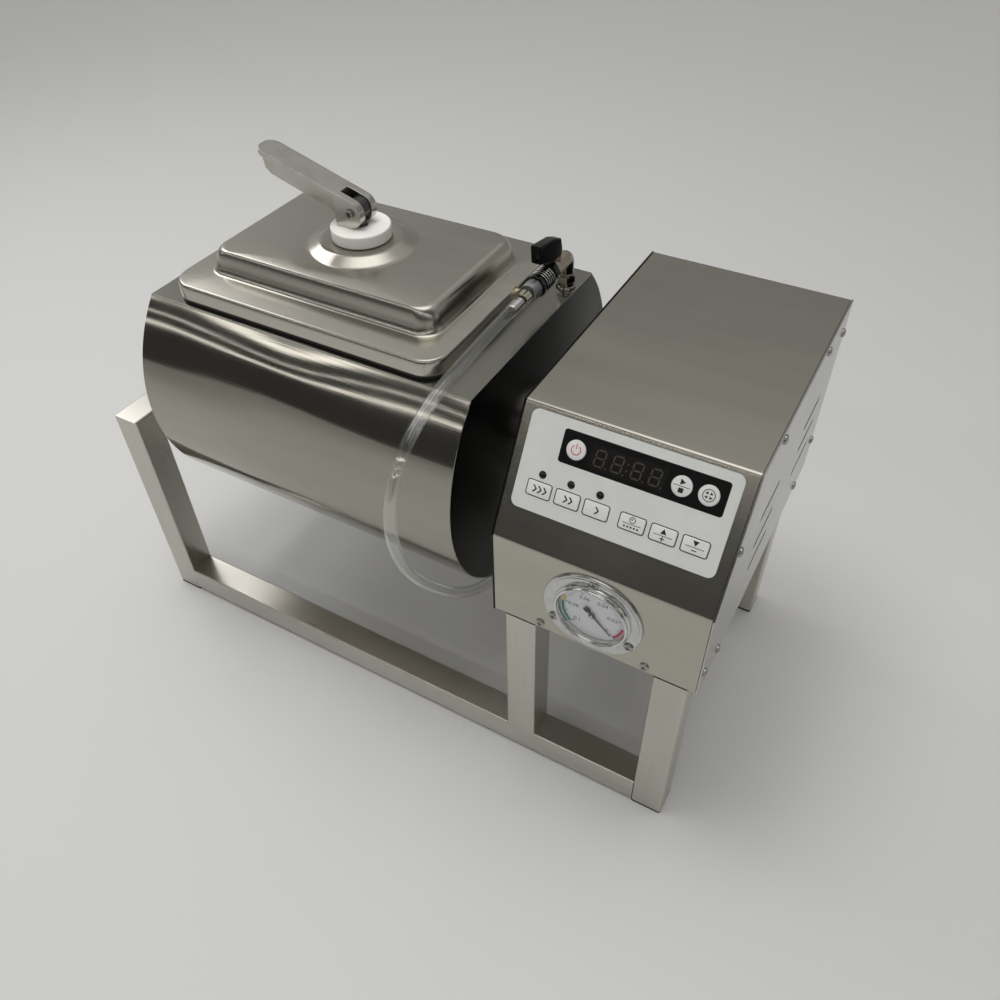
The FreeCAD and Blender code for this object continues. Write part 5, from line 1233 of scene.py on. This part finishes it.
studio = {
    "floorColor": (0.60, 0.60, 0.59),
    # light from behind: least, more towards the left, more from above
    "wall": (0.28, 0.14, 0.21),
    "front": (0.06, 0.16),
    # rise in radians of each bright strip in front of the drum, half its width, and its level
    "strips": [(0.720, 0.040, 2.8), (0.540, 0.014, 1.8), (0.400, 0.022, 2.6)],
    # level straight above, and what the camera sees behind the machine
    "zenith": 1.5,
    "backdrop": 0.56,
    "floorReach": 6.0,
    "lamps": [
        # place, aim, width, height, watts, seen in polished faces
        ((-0.25, -0.20, 2.0), (-0.05, -0.1, 0.1), 0.7, 0.7, 11, False),
        ((-1.5, 0.2, 1.5), (-0.05, 0.0, 0.30), 0.9, 0.9, 7, True),
        ((0.9, -1.5, 1.9), (0.1, -0.2, 0.25), 1.0, 0.8, 6, False),
    ],
}


def addStudio():
    world = bpy.data.worlds.new("studio")
    bpy.context.scene.world = world
    room = Finish("studio", world)
    way = room.node("TexCoord", give="Generated")
    x, y, z = [room.node("SeparateXYZ", sockets={0: way}, give=i) for i in range(3)]
    least, leftMore, highMore = studio["wall"]
    wall = least + room.window(0 - x, 0.40, 0.80) * leftMore + room.window(z, 0.55, 0.62) * highMore
    low, high = studio["front"]
    front = low + room.window(z, 0.45, 0.9) * (high - low)
    back = room.window(y, -0.15, 0.30)
    level = front * (1 - back) + wall * back
    level = level + room.window(z, 0.86, 0.97) * studio["zenith"]
    across = room.node("Math", {"operation": "ARCTAN2"}, {0: z, 1: 0 - y})
    for rise, half, glow in studio["strips"]:
        gap = room.node("Math", {"operation": "ABSOLUTE"}, {0: across - rise})
        strip = (1 - room.window(gap, half * 0.6, half)) * (1 - room.window(y, -0.3, -0.1))
        level = level + strip * glow
    watched = room.node("LightPath", give="Is Camera Ray")
    level = level * (1 - watched) + watched * studio["backdrop"]
    shade = room.node("Background", {}, {"Color": (1.0, 0.99, 0.97), "Strength": level})
    room.tree.links.new(shade.socket, room.out.inputs["Surface"])
    for i, (place, aim, width, height, watts, seen) in enumerate(studio["lamps"]):
        lamp = bpy.data.lights.new(f"softBox{i}", "AREA")
        lamp.shape = "RECTANGLE"
        lamp.size, lamp.size_y, lamp.energy = width, height, watts
        box = bpy.data.objects.new(f"softBox{i}", lamp)
        box.visible_glossy = seen
        box.location = place
        box.rotation_euler = (Vector(aim) - Vector(place)).to_track_quat("-Z", "Y").to_euler()
        bpy.context.scene.collection.objects.link(box)
    floor = Finish("floorPaint")
    speck = floor.grain(6.0, 3.0)
    tint = floor.mix(speck * 0.3, studio["floorColor"], tuple(0.96 * c for c in studio["floorColor"]))
    floor.surface(color=tint, rough=0.7)
    mesh = bpy.data.meshes.new("studioFloor")
    reach = studio["floorReach"]
    corners = [(-reach, -reach, 0), (reach, -reach, 0), (reach, reach, 0), (-reach, reach, 0)]
    mesh.from_pydata(corners, [], [(0, 1, 2, 3)])
    mesh.materials.append(floor.material)
    ground = bpy.data.objects.new("studioFloor", mesh)
    bpy.context.scene.collection.objects.link(ground)


addStudio()
print("studio ready")
